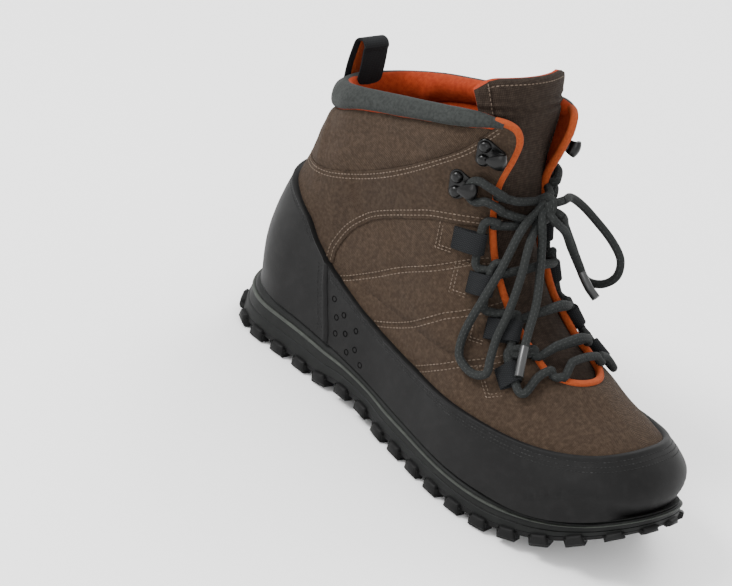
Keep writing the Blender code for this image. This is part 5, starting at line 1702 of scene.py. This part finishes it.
    def bumper_form(self) -> Form:
        """Angular block that stands out of the sole's side."""
        long, tall = self.pitch * 0.30, 0.0078
        rings = []
        for y, grow in ((0.0040, 0.0), (-0.0004, 0.0), (-0.0016, -0.0011)):
            low, high, narrow, wide = 0.0016 - grow, tall + grow, long * 0.72 + grow, long + grow
            rings.append([(-wide, y, low), (wide, y, low), (narrow, y, high), (-narrow, y, high)])
        return Form.sweep(np.array(rings))

    def chevron_form(self) -> Form:
        """Arrow-shaped lug with a bevelled foot."""
        arrow = [(0.55, 0.0), (-0.05, 0.5), (-0.5, 0.5), (-0.1, 0.0), (-0.5, -0.5), (-0.05, -0.5)]
        corners = np.array(arrow) * self.chevron
        middle = corners.mean(axis=0)
        rings = []
        for z, shrink in ((0.0, 0.90), (0.0010, 1.0), (self.lug + 0.0012, 1.04)):
            spots = middle + (corners - middle) * shrink
            rings.append(np.column_stack((spots, np.full(6, z))))
        return Form.sweep(np.array(rings))

    def spots(self, table: Rows) -> dict[str, np.ndarray]:
        """Places of round or arrow-shaped lugs under the sole."""
        rows = np.asarray(table, float)
        x = rows[:, 0] * SOLE_LENGTH
        turn = np.radians(rows[:, 2]) if rows.shape[1] > 2 else np.zeros(len(rows))
        slope = (LAST.ground(x + 0.004) - LAST.ground(x - 0.004)) / 0.008
        direction = np.column_stack((np.cos(turn), np.sin(turn), slope * np.cos(turn)))
        out = np.column_stack((-slope, np.zeros(len(rows)), np.ones(len(rows))))
        across = rows[:, 1] * BALL_WIDTH - MIDDLE_Y
        points = np.column_stack((x - SOLE_LENGTH / 2, across, LAST.ground(x)))
        return {"points": points, "direction": direction, "out": out, "size": np.ones((len(rows), 3))}

    def outsole(self, places: Repeater) -> None:
        """Plate, edge lugs, side blocks, chevrons, pads and stud dishes."""
        made = self.layer("outsole_plate", self.PLATE_EDGE, self.bottom, self.top, "sole_rubber")
        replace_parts(made, "outsole")
        flat = self.ring((0, 0, 0), LAST.ground)[:, :2]
        total = float(np.linalg.norm(np.diff(flat, axis=0), axis=1).sum())
        count = round(total / self.pitch / 2)
        for name, shape, spots in (
            ("edge_lugs_long", self.lug_form(0.012), self.perimeter(count, 0.21)),
            ("edge_lugs_short", self.lug_form(0.0085), self.perimeter(count, 0.71)),
            ("side_blocks", self.bumper_form(), self.perimeter(2 * count, 0.42)),
            ("chevron_lugs", self.chevron_form(), self.spots(self.CHEVRONS)),
            ("round_lugs", lathe(self.PAD, 28), self.spots(self.PADS)),
            ("stud_dishes", lathe(self.DISH, 32), self.spots(self.DISHES)),
        ):
            made = places.repeat(name, shape, [spots], self.palette["sole_rubber"])

    def build(self, places: Repeater) -> None:
        """Makes the sole's layers."""
        self.midsole()
        self.outsole(places)


@dataclass
class Lacing:
    """One lace: strands through the loops and round the lower hooks, knot, bow and ends."""

    palette: Palette
    sides: int = 14
    strand_points: int = 640
    route_points: int = 320
    meeting: float = 0.0058
    clearance: float = 0.0002

    KNOT: tuple[float, float, float] = (0.1812, 0.0003, 0.1590)
    KNOT_REACH: float = 0.0105
    # On the outer side: around, rise and height off the upper. On the inner side: points from the heel.
    OUTER_BOW: Rows = (
        (0.087, 0.682, 0.0130), (0.147, 0.585, 0.0115), (0.215, 0.500, 0.0110), (0.277, 0.420, 0.0070),
        (0.308, 0.365, 0.0050), (0.318, 0.326, 0.0050), (0.300, 0.300, 0.0050), (0.268, 0.310, 0.0080),
        (0.246, 0.350, 0.0098), (0.215, 0.407, 0.0090), (0.166, 0.471, 0.0110), (0.105, 0.560, 0.0135),
        (0.066, 0.652, 0.0150),
    )
    OUTER_END: Rows = (
        (0.026, 0.650, 0.0140), (0.047, 0.570, 0.0130), (0.084, 0.495, 0.0120), (0.138, 0.422, 0.0120),
        (0.172, 0.370, 0.0125), (0.203, 0.315, 0.0115),
    )
    INNER_BOW: Rows = (
        (0.181, 0.022, 0.161), (0.182, 0.033, 0.155), (0.188, 0.042, 0.147), (0.199, 0.047, 0.139),
        (0.207, 0.049, 0.131), (0.208, 0.049, 0.121), (0.202, 0.047, 0.113), (0.193, 0.044, 0.111),
        (0.186, 0.042, 0.118), (0.182, 0.035, 0.130), (0.182, 0.024, 0.143),
    )
    INNER_END: Rows = (
        (0.191, 0.013, 0.146), (0.190, 0.024, 0.134), (0.194, 0.032, 0.122), (0.202, 0.034, 0.114),
        (0.209, 0.035, 0.110),
    )
    # Where each lace leaves the knot, as steps from its middle.
    LEAVE_OUTER_BOW: Rows = ((-0.0005, -0.0078, -0.0072), (0.0019, -0.0033, -0.0101))
    LEAVE_OUTER_END: Rows = ((0.0066, -0.0058, -0.0062),)
    LEAVE_INNER_BOW: Rows = ((0.0058, 0.0076, 0.0053), (0.0079, 0.0071, -0.0027))
    LEAVE_INNER_END: Rows = ((0.0104, -0.0002, -0.0040),)
    KNOT_TURNS: Rows = ((0.0006, 0.0009, 0.0022), (-0.0008, -0.0008, -0.0016), (0.0030, 0.0002, 0.0003))
    TIP_LENGTH: float = 0.017
    # Crossings over the throat: rise and height off the upper in the middle, height at the facings.
    CROSSINGS: Rows = (
        (0.406, 0.0044, 0.0050), (0.487, 0.0044, 0.0050), (0.590, 0.0032, 0.0048), (0.700, 0.0006, 0.0042),
    )
    FACING_PLACE: float = 0.100
    STRAND_LIFT: float = 0.008
    HOOK_LIFT: float = 0.020
    STRAND_OVER: float = 0.0046
    TOP_STRAND: tuple[float, float] = (0.762, 0.0044)
    BAR: Rows = ((0.000, 0.368, 0.0046), (0.060, 0.362, 0.0046), (0.150, 0.336, 0.0050))
    # How the lace leaves a strap's bore: forwards, past the strap's edge.
    LACE_EXIT: Rows = ((0.0000, 0.0026), (0.0004, 0.0054), (0.0026, 0.0076))
    # Turn round a hook's arm: forwards and across from the middle of its plate.
    HOOK_TURN: Rows = (
        (0.0150, -0.0045), (0.0105, -0.0062), (0.0064, -0.0052), (0.0046, 0.0), (0.0064, 0.0052),
        (0.0105, 0.0062), (0.0150, 0.0045),
    )
    HOOK_HEIGHT: float = 0.0040

    @property
    def knot(self) -> np.ndarray:
        """Middle of the knot."""
        return np.asarray(self.KNOT) + AT_HEEL

    def on_upper(self, rows: Rows) -> np.ndarray:
        """Points given as around, rise and height off the upper."""
        table = np.asarray(rows)
        return LAST.lifted(table[:, 0], table[:, 1], table[:, 2])

    def cord(self, name: str, path: np.ndarray) -> bpy.types.Object:
        """Round braided cord along a path."""
        rings = tube_rings(path, LACE_DIAMETER / 2, self.sides)
        made = Form.sweep(rings, turns=True).piece(name, [self.palette["lace_braid"]], 80)
        return made

    def through_loop(self, place: LoopPlace, inner: bool) -> list[np.ndarray]:
        """Points of the lace through a loop, upwards."""
        bore, across = place.bore(inner), place.across(inner)
        length, step = place.ends(inner)[2], 0.003
        forward = place.at(inner, length, 0.0) - place.at(inner, length - step, 0.0)
        forward /= np.linalg.norm(forward)
        low, high = [], []
        for ahead, past in self.LACE_EXIT:
            low.append(bore + forward * ahead - across * (WEBBING_WIDTH / 2 + past))
            high.append(bore + forward * ahead + across * (WEBBING_WIDTH / 2 + past))
        return [*low[::-1], bore, *high]

    def round_hook(self, inner: bool) -> list[np.ndarray]:
        """Points of the lace round the arm of a lower hook, upwards."""
        hooks = Hooks(self.palette)
        rise, around = Hooks.PLACES[0]
        around = -around if inner else around
        axes = hooks.axes(around, rise)
        up = axes[1] * np.sign(axes[1][2])
        origin = LAST.lifted(around, rise, TRIM_FIT + self.HOOK_HEIGHT)
        return [origin + axes[0] * ahead + up * across for ahead, across in self.HOOK_TURN]

    def strand(self, first_inner: bool, under: object) -> np.ndarray:
        """One half of the lacing, from the middle of the lowest bar to the knot.

        Args:
            first_inner: True for the half that starts towards the inner side.
            under: search tree of what the lace lies on.

        Returns:
            The path of the strand.
        """
        side = -1 if first_inner else 1
        start = LAST.lifted(*self.BAR[0])
        spots = [LAST.lifted(-side * self.BAR[1][0], *self.BAR[1][1:])]
        spots += [LAST.lifted(side * around, rise, height) for around, rise, height in self.BAR]
        for place, (rise, middle, edge) in zip(LOOPS, self.CROSSINGS):
            inner = side < 0
            spots += self.through_loop(place, inner)
            spots.append(LAST.lifted(side * self.FACING_PLACE, rise - self.STRAND_LIFT, edge))
            spots.append(LAST.lifted(0.0, rise, middle + (self.STRAND_OVER if inner else 0.0)))
            side = -side
            low = rise + self.HOOK_LIFT if place is LOOPS[-1] else rise - self.STRAND_LIFT
            spots.append(LAST.lifted(side * self.FACING_PLACE, low, edge))
        spots += self.round_hook(side < 0)
        rise, height = self.TOP_STRAND
        spots.append(LAST.lifted(side * self.FACING_PLACE, rise, height))
        spots.append(self.knot - np.array([self.meeting, 0.0, 0.0]))
        path = smooth_path(spots, self.strand_points)
        low = path[:self.strand_points // 8]
        path = path[int(np.linalg.norm(low - start, axis=1).argmin()):]
        return self.drape(path, under, LACE_DIAMETER / 2 + self.clearance)

    @staticmethod
    def drape(path: np.ndarray, under: object, clearance: float) -> np.ndarray:
        """Lifts a path off what is under it and smooths it."""
        for _ in range(4):
            for i, point in enumerate(path):
                spot, out, _, _ = under.find_nearest(Vector(point))
                if (Vector(point) - spot).dot(out) < clearance:
                    path[i] = np.array(spot + out * clearance)
            path[1:-1] = (path[:-2] + 2 * path[1:-1] + path[2:]) / 4
        return path

    def build(self, resting: Sequence[bpy.types.Object]) -> None:
        """Makes the strands, the knot and the free parts of the lace."""
        points, faces, start = [], [], 0
        for made in resting:
            points += [vertex.co.copy() for vertex in made.data.vertices]
            faces += [[corner + start for corner in face.vertices] for face in made.data.polygons]
            start = len(points)
        under = BVHTree.FromPolygons(points, faces)
        outer = self.strand(False, under)
        inner = self.strand(True, under)
        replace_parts(self.cord("lace_strand_outer", outer), "lace_bar", "lace_crossing_1", "lace_crossing_2")
        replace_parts(self.cord("lace_strand_inner", inner), "lace_crossing_3", "lace_crossing_4", "lace_top")
        routes = self.routes()
        knot = self.make_knot(routes)
        for name, path in routes.items():
            away = np.linalg.norm(path - self.knot, axis=1)
            self.hang(name, path[away > self.KNOT_REACH], [knot] if name == "lace_bow_outer" else [])

    def routes(self) -> dict[str, np.ndarray]:
        """Paths of the bows, from the knot and back to it, and of the ends."""
        tables = {
            "lace_bow_outer": (self.LEAVE_OUTER_BOW, self.on_upper(self.OUTER_BOW)),
            "lace_bow_inner": (self.LEAVE_INNER_BOW, np.asarray(self.INNER_BOW) + AT_HEEL),
            "lace_end_outer": (self.LEAVE_OUTER_END, self.on_upper(self.OUTER_END)),
            "lace_end_inner": (self.LEAVE_INNER_END, np.asarray(self.INNER_END) + AT_HEEL),
        }
        routes = {}
        for name, (leave, places) in tables.items():
            leave = np.asarray(leave) + self.knot
            back = [leave[1], self.knot] if len(leave) == 2 else []
            routes[name] = smooth_path([self.knot, leave[0], *places, *back], self.route_points)
        return routes

    def make_knot(self, routes: dict[str, np.ndarray]) -> bpy.types.Object:
        """Makes the knot: three lengths of lace that cross in it, and the turn round them.

        Args:
            routes: the paths of the bows and ends.

        Returns:
            The knot's object.
        """
        starts, half = [], self.route_points // 2
        for name, path in routes.items():
            for way in (path[:half], path[:half - 1:-1]) if "bow" in name else (path[:half],):
                inside = way[np.linalg.norm(way - self.knot, axis=1) < self.KNOT_REACH + 0.0006]
                starts.append(inside[[-1, len(inside) * 3 // 4, len(inside) // 2]])
        forms = []
        for (one, two), step in zip(((0, 3), (1, 2), (4, 5)), self.KNOT_TURNS):
            path = smooth_path([*starts[one], self.knot + np.asarray(step), *starts[two][::-1]], 50)
            forms.append(Form.sweep(tube_rings(path, LACE_DIAMETER / 2, self.sides), turns=True))
        turn = np.linspace(-0.6, 2 * np.pi * 1.15, 80)
        wrap = np.column_stack((
            0.0006 + 0.0049 * np.cos(turn) + 0.0008 * np.sin(turn * 0.7),
            0.0016 * np.sin(turn * 0.5 + 0.4),
            0.0052 * np.sin(turn),
        ))
        rings = tube_rings(wrap + self.knot, LACE_DIAMETER / 2, self.sides)
        forms.append(Form.sweep(rings, turns=True))
        made = Form.join(forms).piece("lace_turns", [self.palette["lace_braid"]], 80)
        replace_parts(made, "lace_knot")
        return made

    def hang(self, node: str, path: np.ndarray, more: Sequence[bpy.types.Object]) -> None:
        """Args:
            node: the solid that it stands for.
            path: its line, from the knot.
            more: other pieces that go with it.
        """
        made = self.cord("free_" + node, path)
        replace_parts(made, node)
        pieces = list(more)
        if "end" in node:
            run = np.cumsum(np.linalg.norm(np.diff(path, axis=0), axis=1))
            tip = path[1:][run > run[-1] - self.TIP_LENGTH]
            sheath = Form.sweep(tube_rings(tip, LACE_DIAMETER / 2 + 0.00015, self.sides), turns=True)
            pieces.append(sheath.piece(node + "_tip", [self.palette["aglet_film"]], 60))


@dataclass(frozen=True)
class Studio:
    """Camera, floor and light of the picture."""

    image_width: float = 732.0
    image_height: float = 586.0
    azimuth: float = 37.0
    elevation: float = 26.0
    roll: float = 17.0
    distance: float = 1.4
    focal_pixels: float = 2490.0
    aim_pixel: tuple[float, float] = (477.0, 292.0)
    aim: tuple[float, float, float] = (0.155 - SOLE_LENGTH / 2, 0.0, 0.09)
    LIGHTS = (
        ("key", (-0.75, -1.05, 1.45), 0.7, 42.0),
        ("front", (1.30, -1.10, 0.80), 1.0, 8.0),
        ("rim", (-0.40, 1.30, 1.20), 0.9, 16.0),
    )

    def camera(self) -> None:
        """Places the camera at the photograph's angle and aims it as the photograph is aimed."""
        a, e, r = (math.radians(value) for value in (self.azimuth, self.elevation, self.roll))
        back = Vector((math.sin(a) * math.cos(e), -math.cos(a) * math.cos(e), math.sin(e)))
        level = Vector((math.cos(a), math.sin(a), 0.0))
        upward = back.cross(level)
        right = math.cos(r) * level + math.sin(r) * upward
        up = -math.sin(r) * level + math.cos(r) * upward
        off_x = self.image_width / 2 - self.aim_pixel[0]
        off_y = self.image_height / 2 - self.aim_pixel[1]
        look = (-back * self.focal_pixels + right * off_x - up * off_y).normalized()
        right = (right - look * right.dot(look)).normalized()
        up = right.cross(look)
        data = bpy.data.cameras.new("photo_camera")
        data.sensor_width = 36.0
        data.lens = data.sensor_width * self.focal_pixels / self.image_width
        data.clip_start, data.clip_end = 0.05, 20.0
        camera = placed("photo_camera", data)
        camera.location = Vector(self.aim) + back * self.distance
        camera.rotation_mode = "QUATERNION"
        camera.rotation_quaternion = Matrix([[right[i], up[i], -look[i]] for i in range(3)]).to_quaternion()
        bpy.context.scene.camera = camera

    def light(self, name: str, place: Sequence[float], size: float, power: float) -> None:
        """Adds a soft light that points at the boot."""
        data = bpy.data.lights.new(name, "AREA")
        data.shape = "DISK"
        data.size = size
        data.energy = power
        made = placed(name, data)
        made.location = place
        made.rotation_mode = "QUATERNION"
        made.rotation_quaternion = (Vector((0.0, 0.0, 0.08)) - Vector(place)).to_track_quat("-Z", "Y")

    def build(self) -> None:
        """Makes camera, floor, lights and the pale surroundings."""
        self.camera()
        reach = 6.0
        floor = bpy.data.meshes.new("floor")
        corners = [(-reach, -reach, 0.0), (reach, -reach, 0.0), (reach, reach, 0.0), (-reach, reach, 0.0)]
        floor.from_pydata(corners, [], [(0, 1, 2, 3)])
        pale = bpy.data.materials.new("pale_floor")
        pale.use_nodes = True
        shader = pale.node_tree.nodes["Principled BSDF"]
        shader.inputs["Base Color"].default_value = (0.95, 0.95, 0.95, 1.0)
        shader.inputs["Roughness"].default_value = 0.7
        floor.materials.append(pale)
        made = placed("floor", floor)
        world = bpy.data.worlds.new("studio")
        world.use_nodes = True
        background = world.node_tree.nodes["Background"]
        background.inputs["Color"].default_value = (1.0, 1.0, 1.0, 1.0)
        background.inputs["Strength"].default_value = 1.7
        bpy.context.scene.world = world
        for name, place, size, power in self.LIGHTS:
            self.light(name, place, size, power)


def main() -> None:
    """Builds the boot's looks piece by piece."""
    logging.basicConfig(level=logging.INFO)
    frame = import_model()
    palette = Palette()
    Studio().build()
    row, places = Repeater(Layout.ROW), Repeater(Layout.PLACES)
    Tongue(palette).build(row)
    upper = Upper(palette)
    upper.shell()
    resting = [bpy.data.objects[name] for name in ("padded_tongue", "woven_shell")]
    Lacing(palette).build(resting)
    upper.ankle_panel()
    upper.stitching(row)
    Rubber(palette).build(row, places)
    Collar(palette).build()
    Binding(palette).build(row)
    LaceLoops(palette).build(row)
    Hooks(palette).build()
    PullLoop(palette).build()
    Sole(palette).build(places)
    for name, made in frame["nodes"].items():
        finish = {"insole": "footbed_knit"}.get(name, "stud_steel" if name.startswith("stud") else None)
        if finish:
            made.data.materials.clear()
            made.data.materials.append(palette[finish])


if __name__ == "__main__":
    main()
